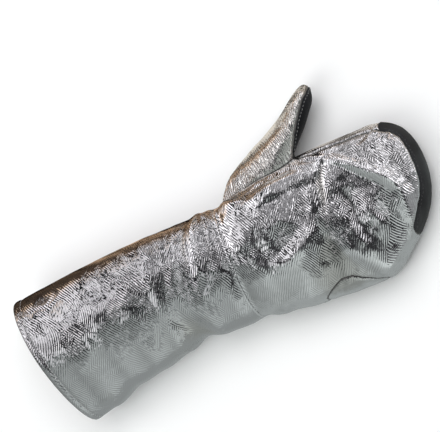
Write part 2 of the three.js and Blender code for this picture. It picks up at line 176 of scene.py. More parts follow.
dark = blended(sky, low_down, (0.03, 0.03, 0.032), (0.06, 0.036, 0.024))
dark = blended(sky, ramp(sky, ahead, 0.6, 0.85), dark, (0.26, 0.265, 0.27))
bright = blended(sky, low_down, (1.54, 1.51, 1.56), (1.25, 0.9, 0.62))
lit = blended(sky, lamps, dark, bright)
shown = blended(sky, lamp_side, wall, lit)
background = node(sky, "Background", Color=shown, Strength=1.0)
node(sky, "OutputWorld", Surface=background[0])

# Broad soft lamps for the table and the leather, which the bright cloth doesn't mirror.
for name, energy, size, spot in (
    ("lamp_over", 20.0, 1.8, (0.3, 0.5, 1.7)),
    ("lamp_side", 12.0, 1.4, (-0.9, -0.7, 1.5)),
):
    lamp = bpy.data.lights.new(name, "AREA")
    lamp.shape, lamp.size, lamp.energy = "DISK", size, energy
    lamp_object = bpy.data.objects.new(name, lamp)
    lamp_object.location = spot
    lamp_object.rotation_mode = "QUATERNION"
    lamp_object.rotation_quaternion = (-Vector(spot)).to_track_quat("-Z", "Y")
    lamp_object.visible_glossy = False
    bpy.context.scene.collection.objects.link(lamp_object)


def new_material(name, **constants):
    """A material with a Principled BSDF, whose sockets take these constants."""
    made = bpy.data.materials.new(name)
    made.use_nodes = True
    tree = made.node_tree
    shader = tree.nodes["Principled BSDF"].inputs
    fill(tree, shader, **constants)
    return made, tree, shader


TABLE_HALF = 3
corners = [(-1, -1), (1, -1), (1, 1), (-1, 1)]
table_mesh = bpy.data.meshes.new("table")
table_mesh.from_pydata([(x * TABLE_HALF, y * TABLE_HALF, 0) for x, y in corners], [], [(0, 1, 2, 3)])
table = bpy.data.objects.new("table", table_mesh)
bpy.context.scene.collection.objects.link(table)
paint, tree, shader = new_material(
    "pale_table", Roughness=0.9, Specular_IOR_Level=0.1, Emission_Strength=1.0,
)
mirrored_ray = node(tree, "LightPath")["Is Glossy Ray"]
place = node(tree, "TexCoord")["Object"]
along, across, _ = node(tree, "SeparateXYZ", Vector=place)
pale = blended(tree, mottled(tree, place, 3.0), (0.93, 0.935, 0.94), (0.95, 0.95, 0.945))
# For glossy rays the table is black and glows instead with a painted reflection of the room past its
# edges, without shadows: grey on the little finger's side, and dark with warm painted glint stripes on
# the thumb's.
STRIPE = 0.03
stripes = worked(tree, "MULTIPLY_ADD", mottled(tree, place, 14.0), 0.2, along)
stripes = ramp(tree, worked(tree, "PINGPONG", stripes, STRIPE), 0.011, 0.021)
by_rim = blended(tree, stripes, (0.012, 0.009, 0.007), (0.13, 0.085, 0.055))
by_cuff = blended(tree, stripes, (0.02, 0.014, 0.010), (0.62, 0.41, 0.26))
by_cuff = blended(tree, ramp(tree, along, -0.17, -0.11), by_rim, by_cuff)
by_hand = blended(tree, stripes, (0.04, 0.035, 0.03), (0.75, 0.70, 0.64))
warm = blended(tree, ramp(tree, along, -0.02, 0.03), by_cuff, by_hand)
painted_room_reflection = blended(tree, ramp(tree, across, -0.01, 0.05), (0.34, 0.365, 0.36), warm)
fill(
    tree, shader,
    Base_Color=blended(tree, mirrored_ray, pale, (0, 0, 0)),
    Emission_Color=blended(tree, mirrored_ray, (0, 0, 0), painted_room_reflection),
)
table_mesh.materials.append(paint)

# Palm and thumb front
# One piece of black split leather, flat where the mitt rests on it. The whole hand's
# form is drawn first, because every sewn panel is a part of it.

# Sections of the mitt across its length: x, little finger's edge, thumb's edge, height
# of the widest line, height of the crown. Millimetres, as everywhere below.
SECTIONS = np.array([
    (-232, -85, 48, 39, 78), (-198, -83.5, 49, 38, 76), (-170, -80, 50.5, 37, 75),
    (-134, -70, 52, 35, 73), (-105, -66.5, 52.5, 33, 71), (-72, -61, 52, 32, 68),
    (-53, -54.5, 51, 30, 66), (-33, -59.5, 50, 29, 63), (-8, -60.5, 50.5, 27, 62),
    (8, -61, 51, 26, 61), (28, -64.5, 53, 24, 60), (62, -69, 57, 22, 58),
    (96, -72.5, 60, 21, 55), (118, -73, 60, 20, 52), (128, -72.5, 59, 20, 51),
])
FINGERTIPS = [
    (128, 59), (148, 58), (164, 57.5), (176, 54.5), (186, 46), (192, 33), (194.5, 16),
    (193, -2), (187.5, -19), (178, -34.5), (164, -48.5), (150, -60), (138, -69), (128, -72.5),
]
LITTLE_EDGE, THUMB_EDGE, WIDEST, CROWN = 1, 2, 3, 4  # columns of the sections
HAND_START, SPINE_END = -26, 128
TIP_CROWN, TIP_WIDE, TIP_FALL = 45, 18, 45
LOW_ROUND, PRESSED = 3.2, 1.08
TUCK = 2.3  # the hand is this much smaller inside the cuff
FORM_STEP = 1.5


def stepped(x, start, end):
    """0 before start, 1 after end and smooth between them."""
    share = np.clip((np.asarray(x, float) - start) / (end - start), 0, 1)
    return share * share * (3 - 2 * share)


def eased(rows, column, x):
    """A column of a table of rows by x, eased between its rows."""
    rows = np.asarray(rows, float)
    x = np.asarray(x, float)
    after = np.clip(np.searchsorted(rows[:, 0], x), 1, len(rows) - 1)
    share = stepped((x - rows[after - 1, 0]) / (rows[after, 0] - rows[after - 1, 0]), 0, 1)
    return rows[after - 1, column] * (1 - share) + rows[after, column] * share


def spine(x):
    """The middle of the mitt in plan."""
    return (eased(SECTIONS, LITTLE_EDGE, x) + eased(SECTIONS, THUMB_EDGE, x)) / 2


def unit(vectors):
    """The vectors made 1 long."""
    return vectors / np.maximum(np.linalg.norm(vectors, axis=-1, keepdims=True), 1e-12)


def lengths_along(path):
    """The length of a path up to each of its points."""
    return np.concatenate([[0], np.cumsum(np.linalg.norm(np.diff(path, axis=0), axis=1))])


def rows_at(places, along, rows):
    """The rows, known at the lengths along, at other places."""
    return np.stack([np.interp(places, along, column) for column in rows.T], axis=1)


def curve(points, step):
    """A smooth line through points, with points at even steps."""
    points = np.asarray(points, float)
    ends = np.vstack([2 * points[0] - points[1], points, 2 * points[-1] - points[-2]])
    t = np.linspace(0, 1, 24, endpoint=False)[:, None]
    pieces = []
    for a, b, c, d in zip(ends, ends[1:], ends[2:], ends[3:]):
        bend = 2 * a - 5 * b + 4 * c - d + t * (3 * (b - c) + d - a)
        pieces.append(b + 0.5 * t * (c - a + t * bend))
    path = np.vstack(pieces + [points[-1:]])
    along = lengths_along(path)
    places = np.linspace(0, along[-1], max(2, int(round(along[-1] / step)) + 1))
    return rows_at(places, along, path)


def section_side(edge, middle, wide, crown, angles, lift, fullness, low_round=LOW_ROUND):
    """Points from under the middle, out to an edge and up to the crown."""
    low, high = angles < 0, angles >= 0
    power = np.where(low, 2 / low_round, 2 / fullness)
    across = np.abs(np.cos(angles)) ** power
    up = np.abs(np.sin(angles)) ** power
    x = middle[0] + (edge[0] - middle[0]) * across
    y = middle[1] + (edge[1] - middle[1]) * across
    under = np.maximum(lift, wide - wide * PRESSED * up)
    return np.stack([x, y, np.where(high, wide + (crown - wide) * up, under)], axis=1)


# The shape of the hand's back: where its crown runs beside the middle, and how
# full its shoulders are (a superellipse exponent), by x.
CROWN_ASIDE = [(-40, 0), (24, 0), (60, -5), (100, -13), (128, -16)]
FULLNESS = [(-40, 2.3), (8, 2.3), (30, 2.8), (70, 3.1), (110, 3.6), (128, 3.6)]


def hand_form():
    """The closed hand without its thumb: points and faces."""
    angles = np.radians(np.linspace(-90, 90, 73))
    columns = []
    stations = np.append(np.arange(HAND_START, SPINE_END, FORM_STEP), SPINE_END)
    for side, xs in ((THUMB_EDGE, stations), (LITTLE_EDGE, stations[::-1])):
        for x in xs:
            tuck = TUCK * (1 - stepped(x, 7, 19))
            edge = eased(SECTIONS, side, x) + (-tuck if side == THUMB_EDGE else tuck)
            wide, crown = eased(SECTIONS, WIDEST, x), eased(SECTIONS, CROWN, x) - tuck
            middle = (x, spine(x) + eased(CROWN_ASIDE, 1, x))
            fullness = eased(FULLNESS, 1, x)
            columns.append(section_side((x, edge), middle, wide, crown, angles, 0.9 * tuck, fullness))
        if side == THUMB_EDGE:
            across = np.abs(np.cos(angles)) ** (2 / fullness)
            for tip in curve(FINGERTIPS, FORM_STEP)[1:-1]:
                share = min(1.0, (tip[0] - SPINE_END) / TIP_FALL) * across ** 2
                wide = SECTIONS[-1, WIDEST] + (TIP_WIDE - SECTIONS[-1, WIDEST]) * share
                crown = SECTIONS[-1, CROWN] + (TIP_CROWN - SECTIONS[-1, CROWN]) * share
                columns.append(section_side(tip, middle, wide, crown, angles, 0.0, fullness))
    grid = np.array(columns)
    high = len(angles)
    a = (np.arange(len(grid) - 1)[:, None] * high + np.arange(high - 1)).ravel()
    faces = np.stack([a, a + high, a + high + 1, a + 1], axis=1).tolist()
    start = (HAND_START, spine(HAND_START), eased(SECTIONS, WIDEST, HAND_START))
    points = np.vstack([grid.reshape(-1, 3), start])
    hub, last = len(points) - 1, (len(grid) - 1) * high
    for j in range(high - 1):
        faces += [(hub, j, j + 1), (hub, last + j + 1, last + j)]
    return points, faces


# The thumb's two seam edges from its root to its tip (outer, inner), and how far the
# cloth and the leather bulge from between them.
THUMB = np.array([
    (2, 30, 24, 74, 16, 28, 7, 9), (8.5, 50.5, 25, 82, 36, 32, 9, 12),
    (22.5, 69, 22.5, 88.5, 56, 36, 9.5, 15), (43, 81.5, 16.5, 95, 67, 40.5, 9, 16.5),
    (64, 90.5, 12, 102, 77, 43.5, 8.5, 16.5), (82, 98.5, 8, 109, 87, 44, 8, 15.5),
    (96.5, 107.5, 7.5, 116, 96.5, 43, 7.5, 14), (108, 112, 9, 121.5, 103.5, 41, 7, 12),
    (115, 114.5, 12.5, 125, 108, 37, 6, 9), (119.5, 115, 17.5, 126, 111.5, 31.5, 5, 5.5),
])
THUMB_NOSE, NOSE_TAPER = 3, 0.87  # how far its tip is rounded off, and how much it closes
CLOTH_BULGE, HIDE_BULGE = 6, 7  # columns of the thumb's rows
CLOTH_ROUND, HIDE_ROUND = 0.95, 1.05  # how sharply each side meets the seams
THUMB_LEAN = -0.3  # the cloth bulges more towards the inner edge
thumb_rows = curve(THUMB, 3.0)
thumb_middle = (thumb_rows[:, 0:3] + thumb_rows[:, 3:6]) / 2
thumb_across = thumb_rows[:, 0:3] - thumb_rows[:, 3:6]
thumb_width = np.linalg.norm(thumb_across, axis=1) / 2
thumb_across /= 2 * thumb_width[:, None]
thumb_along = unit(np.gradient(thumb_middle, axis=0))
thumb_out = np.cross(thumb_along, thumb_across)
thumb_out *= np.sign(thumb_out[:, 2:3]) / np.linalg.norm(thumb_out, axis=1)[:, None]


def quads_between(rows, count):
    """The faces between neighbouring rings, each of count points."""
    a = np.arange(rows - 1)[:, None] * count + np.arange(count)
    b = np.arange(rows - 1)[:, None] * count + (np.arange(count) + 1) % count
    return np.stack([a, a + count, b + count, b], axis=2).reshape(-1, 4)


def thumb_form():
    """The closed thumb with its root inside the hand: points and faces."""
    turn = np.radians(np.arange(0, 360, 5))
    flat, high = np.cos(turn), np.abs(np.sin(turn))
    deep = np.where(turn < np.pi, high ** CLOTH_ROUND, -high ** HIDE_ROUND)
    rings = []
    for i, row in enumerate(thumb_rows):
        bulge = np.where(deep > 0, row[CLOTH_BULGE] * (1 + THUMB_LEAN * flat), row[HIDE_BULGE])
        wide = np.outer(flat * thumb_width[i], thumb_across[i])
        rings.append(thumb_middle[i] + wide + np.outer(deep * bulge, thumb_out[i]))
    last = rings[-1]
    end = last.mean(0)
    for share in (0.35, 0.7, 1.0):
        size = math.sqrt(1 - (NOSE_TAPER * share) ** 2)
        rings.append(end + (last - end) * size + thumb_along[-1] * THUMB_NOSE * share)
    count, total = len(turn), len(turn) * len(rings)
    faces = quads_between(len(rings), count)[:, [0, 3, 2, 1]].tolist()
    faces += [list(range(count))[::-1], list(range(total - count, total))]
    return np.vstack(rings), faces


# Both forms are melted into one even skin.
VOXEL = 1.25
hand_points, hand_faces = hand_form()
thumb_points, thumb_faces = thumb_form()
hand_tree = bvhtree.BVHTree.FromPolygons(hand_points.tolist(), hand_faces)
thumb_tree = bvhtree.BVHTree.FromPolygons(thumb_points.tolist(), thumb_faces)
both_faces = hand_faces + [[v + len(hand_points) for v in f] for f in thumb_faces]
skin_mesh = bpy.data.meshes.new("skin")
skin_mesh.from_pydata(np.vstack([hand_points, thumb_points]).tolist(), [], both_faces)
skin_mesh.update()
skin_object = bpy.data.objects.new("skin", skin_mesh)
bpy.context.scene.collection.objects.link(skin_object)
melt = skin_object.modifiers.new("melt", "REMESH")
melt.mode, melt.voxel_size = "VOXEL", VOXEL
stage_graph = bpy.context.evaluated_depsgraph_get()
melted = bpy.data.meshes.new_from_object(skin_object.evaluated_get(stage_graph))
bpy.data.objects.remove(skin_object)
skin = np.empty(len(melted.vertices) * 3, np.float32)
melted.vertices.foreach_get("co", skin)
skin = skin.reshape(-1, 3).astype(float)
melted.calc_loop_triangles()
tris = np.empty(len(melted.loop_triangles) * 3, np.int32)
melted.loop_triangles.foreach_get("vertices", tris)
tris = tris.reshape(-1, 3).astype(int)


def edges_of(tris):
    """Every edge once, as vertex pairs, and for each triangle its three edges."""
    pairs = np.sort(tris[:, [0, 1, 1, 2, 2, 0]].reshape(-1, 2), axis=1)
    edges, which = np.unique(pairs, axis=0, return_inverse=True)
    return edges, which.reshape(-1, 3)


def relaxed(values, tris, rounds):
    """Values at the points, each moved halfway to the mean of its neighbours."""
    edges, _ = edges_of(tris)
    degree = np.bincount(edges.ravel(), minlength=len(values)).astype(float)
    degree[degree == 0] = 1
    values = np.array(values, float)
    if values.ndim == 1:
        values = values[:, None]
    for _ in range(rounds):
        total = np.stack([
            np.bincount(edges[:, 0], values[edges[:, 1], k], len(values))
            + np.bincount(edges[:, 1], values[edges[:, 0], k], len(values))
            for k in range(values.shape[1])
        ], axis=1)
        values += 0.5 * (total / degree[:, None] - values)
    return values


def normals_of(points, tris):
    """The direction in which the surface faces at each point."""
    a, b, c = (points[tris[:, k]] for k in range(3))
    face = np.cross(b - a, c - a)
    return unit(np.stack([
        sum(np.bincount(tris[:, k], face[:, m], len(points)) for k in range(3)) for m in range(3)
    ], axis=1))


skin = relaxed(skin, tris, 8)

# Seam heights by x: leather's upper edge and the back panel's lowest place, at the
# little finger's side and at the thumb's.
LOW_SEAM = [
    (-40, 7, 7), (5, 7, 8), (14, 7, 25), (45, 7.5, 29), (76, 8, 33), (86, 8, 18), (95, 8, 10),
    (108, 8, 9.5), (136, 8, 22), (168, 8, 25), (190, 8, 9), (240, 8, 8),
]
BACK_LOW = [
    (-40, 13, 10), (5, 13, 10), (14, 13, 26), (80, 14, 34), (95, 14, 36), (122, 12, 36), (240, 12, 30),
]
# The back panel's sewn edge in plan, from the wrist on the thumb's side round the
# fingertips to the S-shaped seam on the little finger's side.
BACK_EDGE = [
    (-60, 75), (84, 75), (90, 60), (97, 55), (115, 54), (136, 52), (155, 51), (169, 48),
    (179, 43), (185.5, 35), (188.5, 21), (188.5, 5), (186.5, -9), (181.5, -21), (173.5, -32),
    (165, -43), (163, -52), (156, -62), (146, -70), (134, -75), (126, -73), (117, -71.5),
    (108, -67), (100, -61.5),
    (90, -60.5), (81, -64.3), (73, -67.3), (65, -69.8), (57, -72.5), (48, -76), (-60, -90),
]
BAND_FROM = (172, 164)  # where the leather band starts and ends: thumb's side, little finger's
BAND_TURNS = (-60, 57)  # and the widths between which it changes from the one to the other
CROTCH = 86  # up to here the back panel's edge is the leather's edge, on the thumb's side
LAP_START = -8  # the hand's panels begin this far inside the cuff
ROOT_LENGTH, ROOT_SIDE = (-15, 140), 15  # the thumb's root lies between and beyond these


def seam_height(rows, points):
    """A seam's height at each point, between its heights at the two sides."""
    x = points[:, 0]
    little, thumb = eased(SECTIONS, LITTLE_EDGE, x), eased(SECTIONS, THUMB_EDGE, x)
    share = np.clip((points[:, 1] - little) / (thumb - little), 0, 1)
    return eased(rows, 1, x) * (1 - share) + eased(rows, 2, x) * share


def beside(points, a, b):
    """Seen in plan, how far along a line from a to b points are, and how far off it."""
    step = b - a
    share = np.clip(((points[:, :2] - a) @ step) / (step @ step), 0, 1)
    return share, points[:, :2] - a - share[:, None] * step


def inside_outline(outline, points):
    """How far points are inside a closed outline in plan; negative outside."""
    ring = np.asarray(outline, float)
    best = np.full(len(points), 1e9)
    inside = np.zeros(len(points), bool)
    for a, b in zip(ring, np.roll(ring, -1, axis=0)):
        best = np.minimum(best, np.linalg.norm(beside(points, a, b)[1], axis=1))
        if a[1] != b[1]:
            crosses = (a[1] > points[:, 1]) != (b[1] > points[:, 1])
            reach = (points[:, 1] - a[1]) * (b[0] - a[0]) / (b[1] - a[1])
            inside ^= crosses & (points[:, 0] < a[0] + reach)
    return np.where(inside, best, -best)


def nearest_in(places, points):
    """For each point, the number of the nearest place and how far it is."""
    search = kdtree.KDTree(len(places))
    for i, place in enumerate(places):
        search.insert(place, i)
    search.balance()
    found = np.array([search.find(p)[1:] for p in points])
    return found[:, 0].astype(int), found[:, 1]


def thumb_depth(points):
    """How far points are on the cloth's side of the thumb's seams."""
    aside = np.linspace(-1.6, 1.6, 81)  # across the thumb and past both of its seams
    sheet = thumb_middle[:, None] + thumb_across[:, None] * (thumb_width[:, None] * aside)[:, :, None]
    sheet = sheet.reshape(-1, 3)
    nearest, _ = nearest_in(sheet, points)
    return ((points - sheet[nearest]) * thumb_out[nearest // len(aside)]).sum(1)


def thumb_share(points):
    """Positive on the thumb and negative on the hand, 0 where they join."""
    share = np.full(len(points), -9.0)
    start, end = ROOT_LENGTH
    near = (points[:, 1] > ROOT_SIDE) & (points[:, 0] > start) & (points[:, 0] < end)
    for i in np.flatnonzero(near):
        p = points[i]
        share[i] = hand_tree.find_nearest(p)[3] - thumb_tree.find_nearest(p)[3]
    return share


on_thumb = relaxed(thumb_share(skin), tris, 3)[:, 0]
thumb_side = thumb_depth(skin)
high_side = skin[:, 1] - spine(skin[:, 0])
over_leather = skin[:, 2] - seam_height(LOW_SEAM, skin)
over_back = np.minimum(skin[:, 2] - seam_height(BACK_LOW, skin), inside_outline(BACK_EDGE, skin))
near_thumb_seam = (high_side > 0) & (skin[:, 0] < CROTCH)
over_back = np.where(near_thumb_seam, over_leather, over_back)
band_turn = stepped(skin[:, 1], *BAND_TURNS)
band_line = skin[:, 0] - BAND_FROM[1] - (BAND_FROM[0] - BAND_FROM[1]) * band_turn
fields = np.stack([
    skin[:, 0] - LAP_START, on_thumb, thumb_side, over_leather, over_back, band_line,
], axis=1)
WRIST_CUT, ON_THUMB, THUMB_SIDE, OVER_LEATHER, OVER_BACK, BAND_LINE = range(6)


def split_along(points, fields, tris, column, where=None):
    """Cuts the triangles where a field is 0. Where picks the triangles to cut."""
    value = fields[:, column].copy()
    edges, of_tri = edges_of(tris)
    slope = np.abs(value[edges[:, 0]] - value[edges[:, 1]])
    typical = np.median(slope[(value[edges[:, 0]] > 0) != (value[edges[:, 1]] > 0)])
    value[np.abs(value) < 0.1 * typical] = 0
    fields = fields.copy()
    fields[:, column] = value
    sign = np.sign(value)
    crossed = sign[edges[:, 0]] * sign[edges[:, 1]] < 0
    if where is not None:
        allowed = np.zeros(len(edges), bool)
        allowed[of_tri[where].ravel()] = True
        crossed &= allowed
    cut = edges[crossed]
    share = value[cut[:, 0]] / (value[cut[:, 0]] - value[cut[:, 1]])
    new_points = points[cut[:, 0]] * (1 - share[:, None]) + points[cut[:, 1]] * share[:, None]
    new_fields = fields[cut[:, 0]] * (1 - share[:, None]) + fields[cut[:, 1]] * share[:, None]
    new_fields[:, column] = 0
    number = np.full(len(edges), -1)
    number[crossed] = len(points) + np.arange(len(cut))
    of_edge = number[of_tri]
    crossed = (of_edge >= 0).any(1)
    made = [tris[~crossed]]
    for t, new in zip(tris[crossed], of_edge[crossed]):
        ring = []
        for k in range(3):
            ring.append(t[k])
            if new[k] >= 0:
                ring.append(new[k])
        start = next(i for i, v in enumerate(ring) if v >= len(points))
        ring = ring[start:] + ring[:start]
        if len(ring) == 4:
            made.append([(ring[0], ring[1], ring[2]), (ring[0], ring[2], ring[3])])
        else:
            second = next(i for i, v in enumerate(ring) if i and v >= len(points))
            for part in (ring[:second + 1], ring[second:] + ring[:1]):
                made.append([(part[0], part[i], part[i + 1]) for i in range(1, len(part) - 1)])
    return np.vstack([points, new_points]), np.vstack([fields, new_fields]), np.vstack(made)


def side_of(fields, tris, column):
    """For each triangle, whether it is on the positive side of a field."""
    return fields[tris, column].sum(1) > 0


for column in (WRIST_CUT, ON_THUMB):
    skin, fields, tris = split_along(skin, fields, tris, column)
    if column == WRIST_CUT:
        tris = tris[side_of(fields, tris, WRIST_CUT)]
thumb_part = side_of(fields, tris, ON_THUMB)
skin, fields, tris = split_along(skin, fields, tris, THUMB_SIDE, thumb_part)
for column in (OVER_LEATHER, OVER_BACK, BAND_LINE):
    hand_part = ~side_of(fields, tris, ON_THUMB)
    if column == BAND_LINE:
        hand_part &= side_of(fields, tris, OVER_LEATHER) & ~side_of(fields, tris, OVER_BACK)
    skin, fields, tris = split_along(skin, fields, tris, column, hand_part)
PALM, THUMB_BACK, HAND_BACK, BAND, INDEX_GUSSET, ULNAR_GUSSET = range(6)
panel = np.full(len(tris), ULNAR_GUSSET)
middle_of_tri = skin[tris].mean(1)
panel[middle_of_tri[:, 1] > spine(middle_of_tri[:, 0])] = INDEX_GUSSET
panel[side_of(fields, tris, BAND_LINE)] = BAND
panel[side_of(fields, tris, OVER_BACK)] = HAND_BACK
panel[~side_of(fields, tris, OVER_LEATHER)] = PALM
thumb_part = side_of(fields, tris, ON_THUMB)
panel[thumb_part] = np.where(side_of(fields, tris, THUMB_SIDE)[thumb_part], THUMB_BACK, PALM)

# Creases of the upper side in plan: a path, how far the flanks reach on its left and on
# its right, and its height, which is negative in a valley. The last three are lists of
# values along the path.
CREASES = [
    # The long fold from the thumb's crotch over the fingers to the little finger's side.
    ([(112, 49), (119, 43), (125, 39), (138, 29), (148, 19), (158, 9), (165, 0), (168, -8),
      (168, -20), (167, -30), (165, -42)],
     [5, 8, 10, 9], [4, 6, 7, 7], [0.6, 3.6, 5.0, 5.4, 5.0, 3.4, 0.8]),
    # Folds between it and the band.
    ([(166, 46), (165, 36), (164, 24), (164, 8), (166, 0)], [5, 6, 5], [8, 12, 8], [1.6, 2.8, 2.8, 0.9]),
    ([(173, 53), (164, 46), (156, 42), (147, 38), (140, 36)], [4], [4], [2.8, 2.4, 1.6, 0.3]),
    ([(168, 54), (159, 46), (151, 42)], [2.5], [2.5], [-1.8, -1.5, 0]),
    ([(176, 34), (175, 20), (176, 4), (175, -10)], [4], [6], [0, -1.2, -1.2, 0]),
    # The valley between the knuckles and the fingers, wide at the little finger's side.
    ([(118, 44), (112, 36), (108, 28), (106, 18), (104, 8), (99, -6), (95, -22), (92, -38), (88, -58)],
     [6, 8, 10, 20, 34, 40], [6, 8, 10, 18, 26, 30], [-0.6, -2.2, -2.4, -2.6, -4.0, -4.8, -4.5]),
    ([(119, 44), (112, 36), (108, 28), (106, 18), (104, 8), (99, -6)],
     [4], [4], [-0.6, -2.2, -2.6, -2.0, -0.8, 0]),
    # Its two rims, which bound a smooth triangle on the little finger's side.
    ([(99, -7), (103, -22), (108, -37), (118, -52), (129, -63), (141, -71)],
     [20], [9], [0.8, 2.8, 3.6, 3.8, 3.0, 1.2]),
    ([(97, -8), (86, -12), (67, -23), (52, -28), (39, -23)], [18], [12], [0.6, 3.0, 3.8, 3.2, 1.0]),
    # Ridges at the thumb's root.
    ([(34, 35), (48, 38), (62, 40), (74, 41), (86, 40.5), (98, 37), (110, 37)],
     [7], [10, 12, 8], [0.4, 3.4, 4.0, 4.0, 3.4, 2.0, 0.8]),
    ([(66, 38), (58, 34), (50, 29), (41, 23), (34, 18)], [14, 10], [10, 9], [0.3, 1.6, 1.8, 1.0, 0]),
    ([(40, 40), (48, 45), (60, 48), (74, 49), (88, 47)], [4], [4], [-0.6, -1.6, -1.8, -1.4, -0.4]),
    ([(120, 46), (113, 52), (107, 57)], [3], [3], [-0.4, -1.2, -0.8]),
    ([(118, 46), (107, 51), (100, 56)], [3], [3], [0.8, 1.2, 0.5]),
    ([(116, 45), (101, 49), (93, 53)], [3], [3], [-0.4, -1.2, -0.8]),
    # Where the hand leaves the cuff.
    ([(5, 43), (17, 46), (27, 43), (36, 41)], [5], [7], [1.8, 3.4, 3.0, 0.6]),
    ([(10, 46), (10, 20), (10, -10), (9, -40), (8, -60)], [3], [8], [-0.8, -1.0, -0.8, -0.8, -0.4]),
    ([(20, 38), (26, 20), (24, -2), (28, -22), (25, -44)], [10], [12], [0.2, 0.9, 0.6, 0.9, 0.2]),
    ([(36, 16), (34, -4), (38, -24), (36, -40)], [9], [9], [0, -1.3, -1.0, 0]),
    # Slight dents over the knuckles and the fingers.
    ([(52, 26), (60, 8), (66, -10)], [12], [14], [0, 1.4, 0]),
    ([(84, 28), (86, 12), (82, -2)], [10], [12], [0, -1.4, 0]),
    ([(128, 28), (122, 10), (126, -12), (122, -28)], [12], [10], [0, -1.6, -1.4, 0]),
    ([(146, 4), (138, -12), (142, -30), (136, -48)], [12], [12], [0, 1.6, 1.8, 0]),
    ([(156, -6), (152, -22), (154, -38)], [8], [10], [0, -1.3, 0]),
]
CREASE_STEP, CREASE_SHARPNESS, CREASE_SHARE = 3.0, 0.1, 0.6


def crease_height(points, creases):
    """How far the creases lift or sink each point of the upper side."""
    lift = np.zeros(len(points))
    for path, left, far, height in creases:
        places = curve(path, CREASE_STEP)
        best = np.full(len(points), 1e9)
        side = np.ones(len(points))
        along = np.zeros(len(points))
        for i, (a, b) in enumerate(zip(places, places[1:])):
            step = b - a
            share, off = beside(points, a, b)
            away = np.linalg.norm(off, axis=1)
            closer = away < best
            best = np.where(closer, away, best)
            side = np.where(closer, step[0] * off[:, 1] - step[1] * off[:, 0], side)
            along = np.where(closer, (i + share) / (len(places) - 1), along)
        left, far, height = (
            np.interp(along, np.linspace(0, 1, len(row)), row) for row in (left, far, height)
        )
        t = np.clip(best / np.where(side > 0, left, far), 0, 1)
        r = CREASE_SHARPNESS
        tent = (math.sqrt(1 + r * r) - np.sqrt(t * t + r * r)) / (math.sqrt(1 + r * r) - r)
        lift += height * np.maximum(tent, 0)
    return lift * CREASE_SHARE


def noise_at(points, size, seed):
    """Smooth noise, about -1 to 1, with lumps of the given size."""
    places = (points / size + seed * 7.31).tolist()
    return np.array([noise.noise(p) for p in places])


def crumple_at(points, size, seed):
    """Flat facets that meet in ridges: 0 in the facets' middles, 1 on the ridges."""
    places = (points / size + seed * 3.77).tolist()
    found = np.array([noise.voronoi(p)[0][:2] for p in places])
    return 1 - np.clip((found[:, 1] - found[:, 0]) * 1.3, 0, 1)


LEAVES_TABLE = (1.5, 14)  # between these heights the mitt starts to be free of the table
UPPER_SIDE = (14, 30)  # between these heights the creases of the upper side begin
SKIN_FLOOR, LINING_FLOOR = 0.25, 0.6  # the lowest heights of the outside and the inside
# How much each panel crumples.
STIRRED = {HAND_BACK: 1.0, THUMB_BACK: 1.0, INDEX_GUSSET: 0.8, ULNAR_GUSSET: 0.8, BAND: 0.35, PALM: 0.25}
cloth_share = np.zeros(len(skin))
for label, share in STIRRED.items():
    members = tris[panel == label].ravel()
    cloth_share[members] = np.maximum(cloth_share[members], share)
cloth_share = relaxed(cloth_share, tris, 4)[:, 0]
outwards = normals_of(skin, tris)
upper = stepped(outwards[:, 2], 0.0, 0.5) * stepped(skin[:, 2], *UPPER_SIDE)
on_hand = 1 - stepped(fields[:, ON_THUMB], 0, 3)
folds = crease_height(skin, CREASES) * upper * on_hand
lift = folds.copy()
warp = np.stack([noise_at(skin, 30, s) for s in (1, 2, 3)], axis=1) * 9
free = stepped(skin[:, 2], *LEAVES_TABLE)
lift += cloth_share * free * (
    0.5 * crumple_at(skin + warp, 34, 4) + 0.2 * crumple_at(skin + 0.5 * warp, 14, 5)
    + 0.5 * noise_at(skin, 26, 6) + 0.06 * noise_at(skin, 6, 7) - 0.3
)
skin = skin + outwards * lift[:, None]
skin = relaxed(skin, tris, 1)

# Where panels meet, the cloth turns in to the seam and puckers along it.
SEAM_DEPTH, SEAM_HALF = 1.2, 2.0
PUCKER, PUCKER_REACH, PUCKER_SIZE = 0.5, 12.0, 5.0
edges, of_tri = edges_of(tris)
lowest = np.full(len(edges), len(STIRRED))
highest = np.full(len(edges), -1)
np.minimum.at(lowest, of_tri.ravel(), np.repeat(panel, 3))
np.maximum.at(highest, of_tri.ravel(), np.repeat(panel, 3))
on_seam = lowest != highest
seam_edges = edges[on_seam]
seam_pairs = np.stack([lowest, highest], axis=1)[on_seam]
seam_points = np.unique(seam_edges.ravel())
nearest, seam_distance = nearest_in(skin[seam_points], skin)
nearest_seam = skin[seam_points[nearest]]
outwards = unit(relaxed(normals_of(skin, tris), tris, 2))
groove = -SEAM_DEPTH * (1 - stepped(seam_distance, 0, SEAM_HALF))
ruffle = noise_at(nearest_seam, PUCKER_SIZE, 8) * PUCKER * stepped(seam_distance, 0.5, 3)
ruffle *= 1 - stepped(seam_distance, 3, PUCKER_REACH)
sewn = (groove + ruffle * np.clip(cloth_share * 1.4, 0, 1)) * stepped(skin[:, 2], 1.0, 6)
skin = skin + outwards * sewn[:, None]
skin = relaxed(skin, tris, 1)
skin[:, 2] = np.maximum(skin[:, 2], SKIN_FLOOR)
outwards = unit(relaxed(normals_of(skin, tris), tris, 2))

GIRTH_END = 185  # past it the fingertips close, and the girth stays


